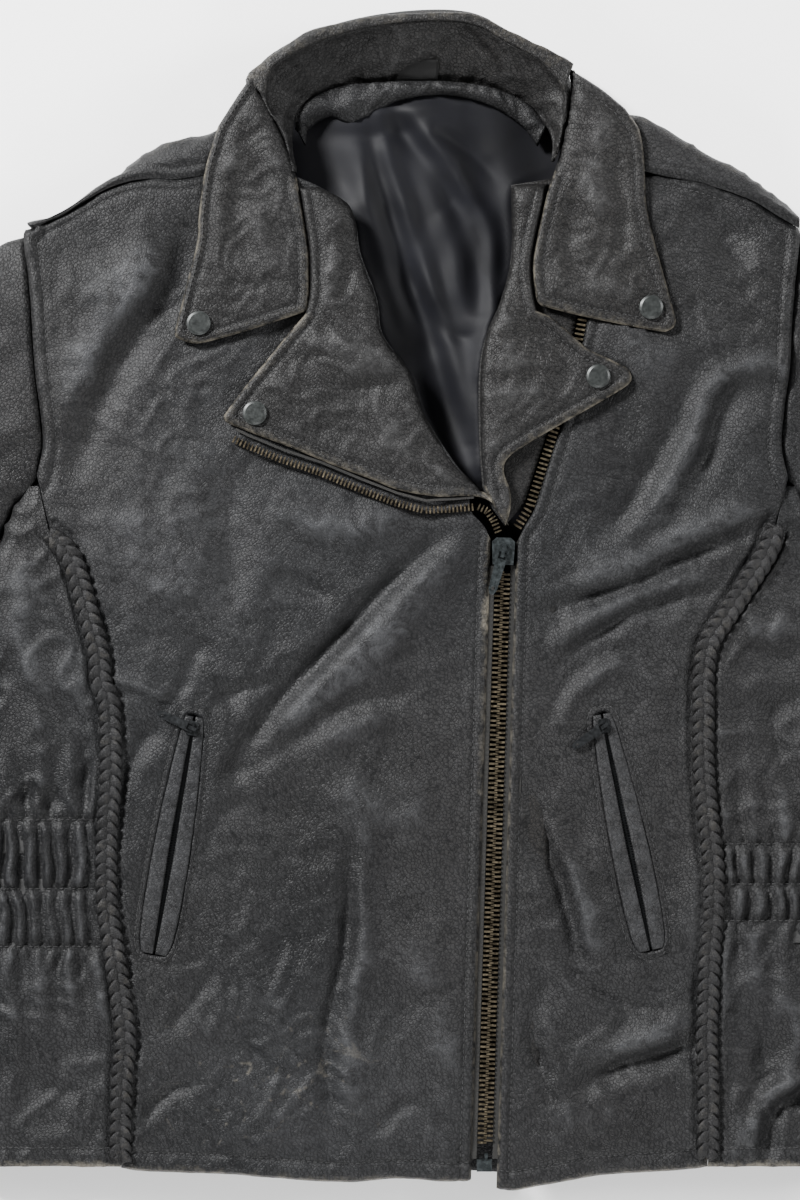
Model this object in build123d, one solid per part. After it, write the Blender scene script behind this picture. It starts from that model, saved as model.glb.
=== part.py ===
from build123d import *
import math
import os

# Leather jacket with an offset front zip, lying flat on its back. Millimetres.
# +X is the wearer's left, +Y runs from hem to collar, +Z is up out of the front.

# Driving dimensions
LEATHER = 1.4
FRONT_Z = 30.4            # outer face of the front leather above the table
SLEEVE_Z = 28.6           # outer face of the sleeves
LEAF_Z0, LEAF_Z1 = 31.9, 34.9   # doubled leather of collar wings and lapels
GAP = 0.3                 # running room between neighbouring pieces
EDGE_TO_CHAIN = 8.0       # leather edge to the middle of the front zip
CHAIN_TOP = (56.6, 18.0)
CHAIN_FOOT = (45.5, -342.0)
TOOTH_PITCH = 3.0
TOOTH_THICK = 1.25
TOOTH_REACH = 4.7         # middle of the chain to the root of a tooth
TEETH_Z0, TEETH_Z1 = 26.9, 29.9
TAPE_Z0, TAPE_Z1 = 27.9, 28.7
TAPE_WIDE = 11.0
SLIDER_HALF = 7.2
SLIDER_LONG = 17.0
SNAP_R = 7.5
BRAID_WIDE = 15.0
POCKET_LONG = 152.0
PULL_LIE = -14.0           # turn of the front zip's pull from the chain
POCKET_PULL_LIE = {-1: -105.0, 1: -67.0}

# Sewing lines of the right half, in plan
YOKE_SEAM_R = [(-237, 235), (-218, 244), (-194, 258), (-178, 264), (-162, 266), (-146, 265), (-128, 268)]
YOKE_SEAM_L = [(242, 235), (228, 243), (211, 253), (181, 263), (155, 268)]
SHOULDER_R = [(-242, 239), (-222, 244.5), (-197, 262), (-174, 279), (-154, 290), (-119, 298)]
SHOULDER_L = [(242, 245), (212, 268), (181, 287), (146, 306), (131, 310)]
ARMHOLE_R = [(-237, 235), (-243, 231), (-240, 205), (-238, 182), (-236, 148), (-231, 103), (-235, 78), (-247, 65)]
ARMHOLE_L = [(242, 235), (243, 231), (240, 205), (238, 182), (236, 148), (231, 103), (235, 78), (247, 65)]
BRAID_R = [(-226, 44), (-214, 31), (-208, 15), (-202, -7), (-196, -29), (-194, -49), (-189, -64),
           (-188, -109), (-190, -136), (-191, -163), (-190, -190), (-186, -217), (-182, -244),
           (-179, -271), (-181, -298), (-182, -332)]
BRAID_L = [(227, 49), (222, 33), (209, 12), (195, -9), (185, -25), (182, -45), (182, -64), (182, -100),
           (185, -136), (188, -163), (188, -190), (186, -217), (185, -244), (184, -271), (185, -298),
           (185, -328)]
SIDE_R = [(-249, 64), (-263, 33), (-277, -12), (-284, -72), (-283, -142), (-284, -212), (-290, -292),
          (-293, -349)]
FOLD_R = [(-60, 262), (-41, 251), (-35, 238), (-32, 219), (-22, 191), (-18, 168), (-2, 146), (8, 118),
          (24, 92), (42, 69)]
FOLD_L = [(62, 262), (62, 218), (55, 189), (47, 170), (42, 146), (42, 103), (44, 73)]
HEM_R = [(-8, -360), (-42, -362), (-78, -360), (-118, -357), (-168, -355), (-182, -353)]
HEM_L = [(64, -367), (82, -364), (118, -358), (172, -354), (185, -352)]
OPEN_ROW = [(63, 47), (72, 62), (80, 87), (88, 112), (96, 140), (102, 165), (105, 181), (107, 196),
            (110, 222)]
LAPEL_ROW = [(-112, 105), (-104, 101), (-82, 92), (-58, 84), (-34, 74), (-11, 65), (8, 60), (27, 61), (39, 62)]
WING_R = [(-75, 266), (-80, 290), (-92, 315), (-99, 331), (-108, 318), (-121, 298), (-127, 279),
          (-130, 266), (-133, 242), (-134, 226), (-141, 198), (-147, 172), (-146, 166), (-135, 162),
          (-122, 165), (-98, 172), (-67, 183), (-65, 194), (-65, 218), (-67, 234), (-72, 266)]
WING_L = [(92, 279), (94, 292), (99, 309), (103, 332), (118, 321), (133, 309), (142, 295), (145, 274),
          (146, 250), (150, 231), (158, 202), (164, 180), (161, 172), (155, 170), (128, 175), (104, 180),
          (82, 185.5), (78, 187), (77, 194), (75.5, 210), (77.5, 226), (83.5, 253), (89, 270)]
LAPEL_R = [(-58, 261), (-41, 251), (-35, 238), (-32, 219), (-22, 191), (-18, 168), (-2, 146), (8, 118),
           (24, 92), (41, 71), (39, 67.8), (16, 67), (-8, 71), (-26, 78), (-50, 87), (-74, 97), (-98, 106),
           (-115, 112), (-116, 118), (-89, 154), (-76, 170), (-66.5, 181), (-63.5, 194), (-63.5, 218),
           (-65.5, 234), (-70, 261)]
LAPEL_L = [(86, 263), (62, 262), (62, 218), (55, 189), (47, 170), (43, 146), (43, 103), (43.3, 93),
           (61, 93), (69, 98), (91, 111), (114, 124), (133, 135),
           (137, 141), (133, 149), (125, 152), (110, 159), (104, 164), (88, 178), (77.5, 183), (75.5, 194),
           (74, 210), (76, 226), (82, 253)]
SNAPS = {"right_collar_snap": (-133, 175), "right_lapel_snap": (-98, 119),
         "left_collar_snap": (149, 185), "left_lapel_snap": (116, 142)}
# Neck seam and roll line of the collar stand, from the right front round to the left front
STAND = [((-72, 270, 27.5), (-75.5, 270, 31.3)), ((-75, 290, 22), (-80, 292, 31.3)),
         ((-72, 310, 14), (-92, 316, 31)), ((-60, 321, 8), (-86, 336, 31)), ((-40, 327, 5), (-51, 354, 31)),
         ((-8, 329, 4), (-8, 363, 31)), ((22, 329, 4), (34, 363, 31)), ((50, 325, 5), (60, 350.5, 31)),
         ((72, 315, 8), (84, 336.5, 31)), ((84, 302, 14), (95, 320, 31)), ((88, 290, 22), (95, 304, 31.3)),
         ((87, 277, 27.5), (91, 282, 31.3))]
BACK_ROLL = [(-102, 327), (-97, 334), (-66, 354.5), (-34, 363.5), (-8, 367), (38, 367), (62, 355.5),
             (88, 343.5), (100, 336)]


def flip(points):
    """The same line on the other half of the jacket."""
    return [(-x, y) for x, y in points]


SIDE_L = flip(SIDE_R)


def chain_x(y, aside=0.0):
    """X of the front chain at a height, or of a line beside it."""
    lean = (CHAIN_TOP[0] - CHAIN_FOOT[0]) / (CHAIN_TOP[1] - CHAIN_FOOT[1])
    return CHAIN_FOOT[0] + lean * (y - CHAIN_FOOT[1]) + aside


def shift(line, aside):
    """A plan line moved sideways, to the left of its own direction."""
    moved = []
    for i, (x, y) in enumerate(line):
        ax, ay = line[max(i - 1, 0)]
        bx, by = line[min(i + 1, len(line) - 1)]
        run = math.hypot(bx - ax, by - ay)
        moved.append((x - aside * (by - ay) / run, y + aside * (bx - ax) / run))
    return moved


def plate(points, z0, z1):
    """A flat piece with a plan outline."""
    face = make_face(Polyline(*[(x, y, z0) for x, y in points], close=True))
    solid = extrude(face, amount=z1 - z0, dir=(0, 0, 1))
    return solid


def ribbon(line, half, z0, z1):
    """A flat strip that follows a plan line."""
    return plate(shift(line, half) + shift(line, -half)[::-1], z0, z1)


def walk(line, pitch, start=0.0, stop=0.0):
    """Evenly spaced stations along a plan line: point and unit direction."""
    spots = []
    want = start
    total = sum(math.dist(a, b) for a, b in zip(line, line[1:]))
    done = 0.0
    for a, b in zip(line, line[1:]):
        run = math.dist(a, b)
        t = ((b[0] - a[0]) / run, (b[1] - a[1]) / run)
        while want <= done + run and want <= total - stop:
            k = want - done
            spots.append(((a[0] + t[0] * k, a[1] + t[1] * k), t))
            want += pitch
        done += run
    return spots


def tooth(spot, t, reach, nose, thick, z0, z1, side):
    """One zip tooth: root at reach, head just past the middle of the chain."""
    n = (-t[1] * side, t[0] * side)
    half = thick / 2
    across = [(reach, half), (1.4, half), (-nose, half * 0.62), (-nose, -half * 0.62), (1.4, -half),
              (reach, -half)]
    points = [(spot[0] + n[0] * a + t[0] * b, spot[1] + n[1] * a + t[1] * b) for a, b in across]
    return plate(points, z0, z1)


def teeth(line, side, start=0.0, stop=0.0, scale=1.0, z0=TEETH_Z0, z1=TEETH_Z1):
    """A row of separate teeth on one side of a chain line."""
    row = []
    for spot, t in walk(line, TOOTH_PITCH * scale, start, stop):
        row.append(tooth(spot, t, TOOTH_REACH * scale, 0.9 * scale, TOOTH_THICK * scale, z0, z1, side))
    return Compound(children=row)


def loft_strip(sections):
    """One ruled solid through four-cornered sections."""
    faces = [make_face(Polyline(*[Vector(*p) for p in s], close=True)) for s in sections]
    return loft(faces, ruled=True)


def mapped(at, angle):
    """A placing for small hardware: local +Y turned to an angle in plan."""
    return Location((at[0], at[1], 0), (0, 0, angle))


def slider_body(half, long, base, top, pin_z, loop, swivel):
    """Slider: two wings above and below the chain, and the arched bridge that holds the pull.

    loop is the run from the pull's pin to each foot of the bridge; swivel turns the bridge.
    """
    nose = half * 0.62
    plan = [(-half, long * 0.35), (-nose, long / 2), (nose, long / 2), (half, long * 0.35),
            (half * 0.9, -long / 2), (-half * 0.9, -long / 2)]
    over = plate(plan, top, top + 1.3)
    under = plate(plan, base - 1.3, base)
    bridge = Pos(0, 0, pin_z + 1.6) * Box(2.2, loop * 2 + 1.0, 1.1)
    for y in (-loop, loop):
        bridge += Pos(0, y, (top + pin_z + 2.5) / 2) * Box(2.2, 1.0, pin_z - top + 0.1)
    return Compound(children=[over + Rot(0, 0, swivel) * bridge, under])


def pull_tab(long, half, pin_z, thick, loop):
    """Pull: a pin under the bridge, two arms and a tongue with a hole near its round end."""
    z0 = pin_z - thick / 2
    neck = -loop - 1.5
    tongue = plate([(-half, neck), (half, neck), (half * 0.8, -long + half), (half * 0.4, -long),
                    (-half * 0.4, -long), (-half * 0.8, -long + half)], z0, z0 + thick)
    tongue -= Pos(0, -long + half * 1.15, z0) * Cylinder(half * 0.36, thick * 4)
    for s in (-1, 1):
        tongue += Pos(s * (half - 0.5), (neck + 0.6) / 2, pin_z) * Box(1.0, 0.6 - neck, thick)
    return tongue + Pos(0, 0, pin_z) * Box(half * 2, 1.2, thick)


def snap_cap(at):
    """Dome snap: cap on top, post through the leather and socket ring below."""
    x, y = at
    cap = Pos(x, y, LEAF_Z1 + 0.9) * Cylinder(SNAP_R, 1.6)
    dome = Pos(x, y, LEAF_Z1 + 2.0) * Cone(SNAP_R - 0.2, SNAP_R - 1.6, 0.7)
    post = Pos(x, y, (31.1 + LEAF_Z1 + 0.2) / 2) * Cylinder(1.9, LEAF_Z1 + 0.2 - 31.5 + 0.4)
    post -= Pos(x, y, 30.9) * Cylinder(1.95, 1.2)
    ring = Pos(x, y, 31.3) * Cylinder(4.6, 1.0) - Pos(x, y, 31.0) * Cylinder(3.0, 1.0)
    return cap + dome + post + ring


def snap_hole(at):
    return Pos(at[0], at[1], (LEAF_Z0 + LEAF_Z1) / 2) * Cylinder(2.1, 6)


def front_panels():
    edge_r = [(chain_x(40, -EDGE_TO_CHAIN), 40), (chain_x(-361, -EDGE_TO_CHAIN), -361)]
    right = FOLD_R[:-1] + [(35, 76), (37, 57), (45, 48)] + edge_r + HEM_R + shift(BRAID_R[::-1], -0.15) + ARMHOLE_R[::-1][1:]
    right += YOKE_SEAM_R[1:] + [(-90, 274)]
    edge_l = shift(OPEN_ROW, -5.4)
    left = [(chain_x(-366, EDGE_TO_CHAIN), -366), (chain_x(38, EDGE_TO_CHAIN), 38)] + edge_l
    left += [(118, 262)] + YOKE_SEAM_L[::-1] + ARMHOLE_L[1:-1] + shift(BRAID_L, 0.15) + HEM_L[::-1]
    under = FOLD_L + [(57, 52)] + shift(OPEN_ROW, 1.6)[1:] + [(106, 240), (100, 268)]
    return right, left, under


def pocket_frame(side):
    """Middle of a slanted pocket and the turn that stands it up along its slot."""
    if side < 0:
        return (-148.5, -144.5), -9.7
    return (134.0, -142.5), 11.8


def pocket_cut(side):
    at, turn = pocket_frame(side)
    return mapped(at, turn) * Pos(0, 0, 29.7) * Box(16.0, POCKET_LONG, 6)


def pocket_parts(side, name, made):
    """Two welts, closed zip and slider of one pocket."""
    at, turn = pocket_frame(side)
    place = mapped(at, turn)
    half = POCKET_LONG / 2
    welt = [Pos(s * 4.7, 0, 30.0) * Box(5.8, POCKET_LONG - 0.8, 2.0) for s in (-1, 1)]
    made[name + "_pocket_welts"] = place * Compound(children=welt)
    tape = [Pos(s * 6.0, 0, 28.25) * Box(6.6, POCKET_LONG + 8, 0.7) for s in (-1, 1)]
    made[name + "_pocket_tape"] = place * Compound(children=tape)
    line = [(0, half - 4), (0, -half + 2)]
    rows = [teeth(line, 1, 0, 0, 0.55, 27.4, 28.9), teeth(line, -1, 0.82, 0, 0.55, 27.4, 28.9)]
    made[name + "_pocket_teeth"] = place * Compound(children=rows)
    lie = POCKET_PULL_LIE[side]
    spot = place * Pos(0, half - 8, 0)
    made[name + "_pocket_slider"] = spot * slider_body(3.6, 9.0, 27.0, 31.2, 33.4, 2.1, lie)
    made[name + "_pocket_pull"] = spot * Rot(0, 0, lie) * pull_tab(24.0, 2.9, 33.4, 1.0, 2.1)


def braid(line):
    """Braided trim over a side seam, as one flat strip."""
    return ribbon(line, BRAID_WIDE / 2 - 0.6, FRONT_Z + 0.3, FRONT_Z + 2.2)


def side_panel(braid_line, side_line, armhole_end, hem_end, back_x):
    """Side of the body from the braid round the side fold to the back panel, open inside and at the hem."""
    s = 1 if side_line[0][0] > 0 else -1
    outline = braid_line + [hem_end] + side_line[::-1] + [armhole_end]
    solid = plate(outline, 0, FRONT_Z)
    inner = shift(side_line, -s * LEATHER)
    inner = [(s * 235, 75)] + inner + [(inner[-1][0], -380), (s * 100, -380), (s * 100, 75)]
    solid -= plate(inner, LEATHER, FRONT_Z - LEATHER)
    solid -= plate([(s * back_x, 90), (s * back_x, -380), (s * 100, -380), (s * 100, 90)], -1, FRONT_Z - LEATHER)
    return solid


def yoke():
    """Shoulder yoke: front strips, shoulder wall and the back yoke under the neck."""
    strips = plate(shift(YOKE_SEAM_R, GAP) + SHOULDER_R[::-1], FRONT_Z - LEATHER, FRONT_Z)
    strips += plate(SHOULDER_L + shift(YOKE_SEAM_L, -GAP)[::-1], FRONT_Z - LEATHER, FRONT_Z)
    for line in (SHOULDER_R, SHOULDER_L):
        strips += plate(line + shift(line, -LEATHER)[::-1], 0.3, FRONT_Z)
    back = SHOULDER_R + [(-96, 309), (-84, 318), (-60, 325.5), (0, 326), (50, 325.5), (76, 318), (100, 309)]
    back += SHOULDER_L[::-1] + [(239.5, 205), (237.5, 182), (235.5, 148), (234.3, 138.3), (-234.3, 138.3), (-235.5, 148),
             (-237.5, 182), (-239.5, 205)]
    return strips + plate(back, 0, LEATHER)


def back_panel():
    left = [(189.7, -352), (189.7, -18), (194.4, -9), (208.4, 12), (221.4, 33), (226.3, 49), (230, 78),
            (229, 103), (234.2, 138)]
    right = [(-189.7, -352), (-189.7, -30), (-195, -23), (-201.5, -7), (-207.5, 15), (-213, 30), (-224, 43),
             (-230, 78), (-229, 103), (-234.2, 138)]
    points = left + right[::-1]
    return plate(points, 0, LEATHER)


def sleeve(s):
    """One sleeve: top leather with side walls, open at shoulder and cuff, and the flat under leather."""
    armhole = [(s * abs(x), y) for x, y in shift(ARMHOLE_R[1:], -0.4)]
    outer = [(s * x, y) for x, y in ((246, 238), (262, 226), (285, 205), (325, 180), (638, -266))]
    inner = [(s * x, y) for x, y in ((531.5, -341), (292.5, -42), (271, 18), (253, 64.5))]
    outline = outer + inner + armhole[::-1]
    top = plate(outline, LEATHER + GAP, SLEEVE_Z)
    room_out = shift(outer, -s * LEATHER)
    room_in = shift(inner, -s * LEATHER)
    end_a = (room_out[-1][0] + s * 30, room_out[-1][1] - 44)
    end_b = (room_in[0][0] + s * 30, room_in[0][1] - 44)
    room = [(s * 225, 240)] + room_out + [end_a, end_b] + room_in + [(s * 225, 55)]
    top -= plate(room, 0, SLEEVE_Z - LEATHER)
    return top, plate(outline, 0, LEATHER)


def collar_stand():
    """Sloping inner band of the collar, from the neck seam up to the roll line."""
    sections = []
    for low, high in STAND:
        run = math.dist(low, high)
        nx, ny = high[0] - low[0], high[1] - low[1]
        flat = math.hypot(nx, ny)
        rise = (high[2] - low[2]) / run
        out = (nx / flat * rise * LEATHER, ny / flat * rise * LEATHER, -flat / run * LEATHER)
        sections.append([low, high, tuple(h + o for h, o in zip(high, out)), tuple(w + o for w, o in zip(low, out))])
    return loft_strip(sections)


def linings(right, left):
    """Front linings just under the facings, with the back and sleeve linings on the far side."""
    made = {}
    made["right_front_lining"] = plate(
        [(-36, 215), (-24, 175), (0, 128), (22, 84), (26, 40), (16, -350), (-176, -344), (-176, -60),
         (-222, 60), (-228, 226), (-70, 258)], 24.5, 25.0)
    made["left_front_lining"] = plate(
        [(76, -350), (88, 40), (96, 76), (112, 120), (128, 200), (128, 250), (232, 226), (222, 60),
         (178, -60), (178, -344)], 24.5, 25.0)
    made["back_lining"] = plate(
        [(-176, -340), (176, -340), (176, -50), (218, 60), (226, 228), (150, 300), (92, 300), (66, 318),
         (-8, 322), (-56, 318), (-84, 302), (-148, 284), (-226, 228), (-218, 60), (-176, -50)], 1.9, 2.4)
    arms = []
    for s in (-1, 1):
        for z in (1.9, 26.2):
            arms.append(plate([(s * 248, 224), (s * 322, 172), (s * 612, -262), (s * 530, -318),
                               (s * 298, -32), (s * 256, 66)], z, z + 0.5))
    made["sleeve_linings"] = Compound(children=arms)
    return made


def small_parts(made):
    """Facings, elastics, pocket bags, label and box at the foot of the zip."""
    facing = []
    for a, b in ((-34, -9), (9, 34)):
        facing.append(plate([(chain_x(30, a), 30), (chain_x(30, b), 30), (chain_x(-352, b), -352),
                             (chain_x(-352, a), -352)], 25.9, 27.0))
    facing[0] -= plate([(chain_x(30, -9.2), 31), (60, 31), (60, -353), (chain_x(-352, -9.2), -353)], 20, 26.0)
    made["front_facings"] = Compound(children=facing)
    strips = []
    for s in (-1, 1):
        for y in (-150, -178, -206):
            strips.append(Pos(s * 236, y, 28.0) * Box(84, 12, 1.0))
    made["waist_elastics"] = Compound(children=strips)
    bags = []
    for s, x in ((-1, -148), (1, 134)):
        bags.append(plate([(x - s * 14, -60), (x + s * 10, -60), (x + s * 10, -228), (x - s * 36, -238),
                           (x - s * 37, -120)], 25.1, 25.5))
    made["pocket_bags"] = Compound(children=bags)
    made["neck_label"] = Location((3, 337.2, 12.0), (36.5, 0, 0)) * Box(27, 15, 0.5)
    foot = chain_x(-351)
    box = Pos(foot, -351, 28.3) * Box(9.4, 7.6, 3.6)
    pin = Pos(foot + 1.2, -345.6, 28.3) * Box(2.0, 4.0, 2.2)
    made["zip_box"] = box + pin


def front_zip(made):
    """Front zip: closed chain below the slider, the two rows parting above it."""
    closed = [(chain_x(20), 20), (chain_x(-342), -342)]
    upper_r = [(42.5, 62), (48, 59.5), (52.5, 53), (55.5, 45.5)]
    right_rows = [teeth(closed, 1, 1.5, 4), teeth(upper_r, -1, 0, 0, 0.8)]
    made["right_zip_teeth"] = Compound(children=right_rows)
    made["left_zip_teeth"] = Compound(children=[teeth(closed, -1, 0, 4), teeth(OPEN_ROW, -1, 3)])
    for side, name in ((-1, "right"), (1, "left")):
        strip = plate([(chain_x(24, side * 5.0), 24), (chain_x(24, side * 15.5), 24),
                       (chain_x(-347, side * 15.5), -347), (chain_x(-347, side * 5.0), -347)], TAPE_Z0, TAPE_Z1)
        if side > 0:
            run = OPEN_ROW[1:]
            strip = Compound(children=[strip, plate(shift(run, -5.0) + shift(run, -13.0)[::-1], TAPE_Z0, TAPE_Z1)])
        made[name + "_zip_tape"] = strip
    row = teeth(LAPEL_ROW, -1, 2, 0, 0.8, 32.4, 34.6)
    made["lapel_zip_teeth"] = row
    made["lapel_zip_tape"] = ribbon(shift(LAPEL_ROW, 4.6), 0.75, 33.1, 33.8)
    at = (chain_x(33.0), 33.0)
    turn = -math.degrees(math.atan2(CHAIN_TOP[0] - CHAIN_FOOT[0], CHAIN_TOP[1] - CHAIN_FOOT[1]))
    spot = mapped(at, turn)
    made["zip_slider"] = spot * slider_body(SLIDER_HALF, SLIDER_LONG, 26.6, 30.2, 32.7, 3.6, PULL_LIE)
    made["zip_pull"] = spot * Rot(0, 0, PULL_LIE) * pull_tab(28.0, 3.4, 32.7, 1.2, 3.6)


def build():
    made = {}
    right, left, under = front_panels()
    z0 = FRONT_Z - LEATHER
    made["right_front_panel"] = plate(right, z0, FRONT_Z) - pocket_cut(-1)
    made["left_front_panel"] = plate(left, z0, FRONT_Z) - pocket_cut(1)
    made["left_underlap"] = plate(under, z0, FRONT_Z)
    made["right_side_panel"] = side_panel(shift(BRAID_R, -0.15), SIDE_R, (-235, 60), (-182.15, -352.5), 190)
    made["left_side_panel"] = side_panel(shift(BRAID_L, 0.15), SIDE_L, (235, 60), (185.15, -352), 190)
    made["shoulder_yoke"] = yoke()
    made["back_panel"] = back_panel()
    for s, name in ((-1, "right"), (1, "left")):
        made[name + "_sleeve_top"], made[name + "_sleeve_under"] = sleeve(s)
        pocket_parts(s, name, made)
    made["collar_stand"] = collar_stand()
    made["collar_back_leaf"] = plate(BACK_ROLL + shift(BACK_ROLL, -1.8)[::-1], 1.7, 31.4)
    made["right_collar_wing"] = plate(WING_R, LEAF_Z0, LEAF_Z1) - snap_hole(SNAPS["right_collar_snap"])
    made["left_collar_wing"] = plate(WING_L, LEAF_Z0, LEAF_Z1) - snap_hole(SNAPS["left_collar_snap"])
    made["right_lapel"] = plate(LAPEL_R, LEAF_Z0, LEAF_Z1) - snap_hole(SNAPS["right_lapel_snap"])
    made["left_lapel"] = plate(LAPEL_L, LEAF_Z0, LEAF_Z1) - snap_hole(SNAPS["left_lapel_snap"])
    for name, at in SNAPS.items():
        made[name] = snap_cap(at)
    studs = [Pos(x, y, FRONT_Z + 0.45) * Cylinder(2.0, 0.7) for x, y in SNAPS.values()]
    made["snap_studs"] = Compound(children=studs)
    made["right_braid"] = braid(BRAID_R)
    made["left_braid"] = braid(BRAID_L)
    made.update(linings(right, left))
    small_parts(made)
    front_zip(made)
    return made


os.makedirs("parts", exist_ok=True)
for node, shape in build().items():
    export_step(shape, f"parts/{node}.step")
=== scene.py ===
import math

import bpy
import numpy as np
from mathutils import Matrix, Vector
from mathutils.bvhtree import BVHTree
from mathutils.geometry import delaunay_2d_cdt


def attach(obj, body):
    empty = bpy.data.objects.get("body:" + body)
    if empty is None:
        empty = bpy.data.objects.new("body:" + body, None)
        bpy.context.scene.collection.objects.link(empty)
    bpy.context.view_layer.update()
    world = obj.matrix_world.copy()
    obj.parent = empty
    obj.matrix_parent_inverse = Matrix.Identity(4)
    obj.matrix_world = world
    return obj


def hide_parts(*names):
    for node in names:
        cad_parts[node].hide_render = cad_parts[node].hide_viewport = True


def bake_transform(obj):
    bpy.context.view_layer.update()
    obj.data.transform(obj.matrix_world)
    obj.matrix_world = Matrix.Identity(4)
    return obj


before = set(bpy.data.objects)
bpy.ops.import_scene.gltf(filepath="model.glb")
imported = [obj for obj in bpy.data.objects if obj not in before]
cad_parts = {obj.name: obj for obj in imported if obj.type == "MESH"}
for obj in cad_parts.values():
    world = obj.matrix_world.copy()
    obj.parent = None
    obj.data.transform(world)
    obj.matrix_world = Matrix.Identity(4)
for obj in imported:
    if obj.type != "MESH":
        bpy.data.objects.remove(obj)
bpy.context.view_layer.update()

MM = 0.001
TOP = 30.4          # outer face of the front leather
LEAF = 34.9         # outer face of collar wings and lapels
SLEEVE_TOP = 28.6
CHAIN = ((56.6, 18.0), (45.5, -342.0))

# ------------------------------------------------------------------ plan lines, millimetres
YOKE_R = [(-237, 235), (-218, 244), (-194, 258), (-178, 264), (-162, 266), (-146, 265), (-128, 268)]
YOKE_L = [(242, 235), (228, 243), (211, 253), (181, 263), (155, 268)]
SHOULDER_R = [(-242, 239), (-222, 244.5), (-197, 262), (-174, 279), (-154, 290), (-119, 298)]
SHOULDER_L = [(242, 245), (212, 268), (181, 287), (146, 306), (131, 310)]
ARM_R = [(-237, 235), (-243, 231), (-240, 205), (-238, 182), (-236, 148), (-231, 103), (-235, 78), (-247, 65)]
ARM_L = [(242, 235), (243, 231), (240, 205), (238, 182), (236, 148), (231, 103), (235, 78), (247, 65)]
BRAID_R = [(-226, 44), (-214, 31), (-208, 15), (-202, -7), (-196, -29), (-194, -49), (-189, -64),
           (-188, -109), (-190, -136), (-191, -163), (-190, -190), (-186, -217), (-182, -244),
           (-179, -271), (-181, -298), (-182, -332)]
BRAID_L = [(227, 49), (222, 33), (209, 12), (195, -9), (185, -25), (182, -45), (182, -64), (182, -100),
           (185, -136), (188, -163), (188, -190), (186, -217), (185, -244), (184, -271), (185, -298),
           (185, -328)]
SIDE = [(249, 64), (263, 33), (277, -12), (284, -72), (283, -142), (284, -212), (290, -292), (293, -349)]
FOLD_R = [(-60, 262), (-41, 251), (-35, 238), (-32, 219), (-22, 191), (-18, 168), (-2, 146), (8, 118),
          (24, 92), (42, 69)]
FOLD_L = [(62, 262), (62, 218), (55, 189), (47, 170), (42, 146), (42, 103), (44, 73)]
HEM_R = [(37.2, -361), (19, -361.5), (-8, -360), (-42, -362), (-78, -360), (-118, -357), (-168, -355),
         (-182, -353)]
HEM_L = [(185, -352), (172, -354), (118, -358), (82, -364), (64, -367), (53, -366)]
OPEN_ROW = [(63, 47), (72, 62), (80, 87), (88, 112), (96, 140), (102, 165), (105, 181), (107, 196),
            (110, 222)]
# collar wings: roll edge, outer edge, lower edge, front edge, each its own smooth run
WING_R = [[(-72, 266), (-77, 282), (-88, 308), (-99, 331)], [(-99, 331), (-108, 318), (-121, 298)],
          [(-121, 298), (-127, 279), (-130, 266), (-133, 242), (-134, 226), (-141, 198), (-147.5, 172)],
          [(-147.5, 172), (-148, 167.5), (-145, 165.2), (-135, 162.5), (-122, 165), (-98, 172), (-69, 181.5)],
          [(-69, 181.5), (-65.6, 184), (-64.4, 194), (-64.4, 218), (-66.5, 234), (-72, 266)]]
WING_L = [[(98, 334), (99.5, 320), (96, 300), (92.5, 282), (89, 270)],
          [(89, 270), (83.5, 253), (77.5, 226), (75.5, 210), (77, 194), (78.2, 188.5), (80.5, 186)],
          [(80.5, 186), (104, 180), (128, 175), (155, 170), (160, 170.5), (163, 172.5)],
          [(163, 172.5), (164.3, 175), (163.8, 180), (158, 202), (150, 231), (146, 250), (145, 274),
           (142, 295), (133, 309)],
          [(133, 309), (118, 321), (98, 334)]]
LAPEL_R = [[(-58, 261), (-41, 251), (-35, 238), (-32, 219), (-22, 191), (-18, 168), (-2, 146), (8, 118),
            (24, 92), (43, 71)],
           [(43, 71), (50, 66), (57, 56), (60, 49)],
           [(60, 49), (55.5, 57), (50, 63), (43, 66.5), (32, 67.5), (16, 67), (-8, 71), (-26, 78),
            (-50, 87), (-74, 97), (-98, 106), (-113, 112)],
           [(-113, 112), (-116.5, 113.8), (-117.5, 116.5), (-116, 119.5), (-103, 137), (-89, 154),
            (-76, 170), (-66.5, 181)],
           [(-66.5, 181), (-63.7, 194), (-63.7, 218), (-65.7, 234), (-70, 261)]]
LAPEL_L = [[(86, 263), (62, 262)],
           [(62, 262), (62, 218), (55, 189), (47, 170), (43, 146), (43, 103), (45, 73)],
           [(45, 73), (51, 61), (58.5, 49)],
           [(58.5, 49), (61.5, 60), (61, 71), (57.3, 82), (59, 90), (69, 98), (91, 111), (114, 124),
            (131, 134)],
           [(131, 134), (135.5, 137.5), (137, 141.5), (134, 147), (125, 152), (110, 159), (104, 164),
            (88, 178), (77.5, 183)],
           [(77.5, 183), (75.2, 194), (73.8, 210), (75.8, 226), (82, 253)]]
SNAPS = [(-133, 175), (-98, 119), (149, 185), (116, 142)]
STAND = [((-72, 270, 27.5), (-75.5, 270, 31.3)), ((-75, 290, 22), (-80, 292, 31.3)),
         ((-72, 310, 14), (-92, 316, 31)), ((-60, 321, 8), (-86, 336, 31)), ((-40, 327, 5), (-51, 354, 31)),
         ((-8, 329, 4), (-8, 363, 31)), ((22, 329, 4), (34, 363, 31)), ((50, 325, 5), (60, 350.5, 31)),
         ((72, 315, 8), (84, 336.5, 31)), ((84, 302, 14), (95, 320, 31)), ((88, 290, 22), (95, 304, 31.3)),
         ((87, 277, 27.5), (91, 282, 31.3))]
BACK_ROLL = [(-102, 327), (-97, 334), (-66, 354.5), (-34, 363.5), (-8, 367), (38, 367), (62, 355.5),
             (88, 343.5), (100, 336)]

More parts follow.
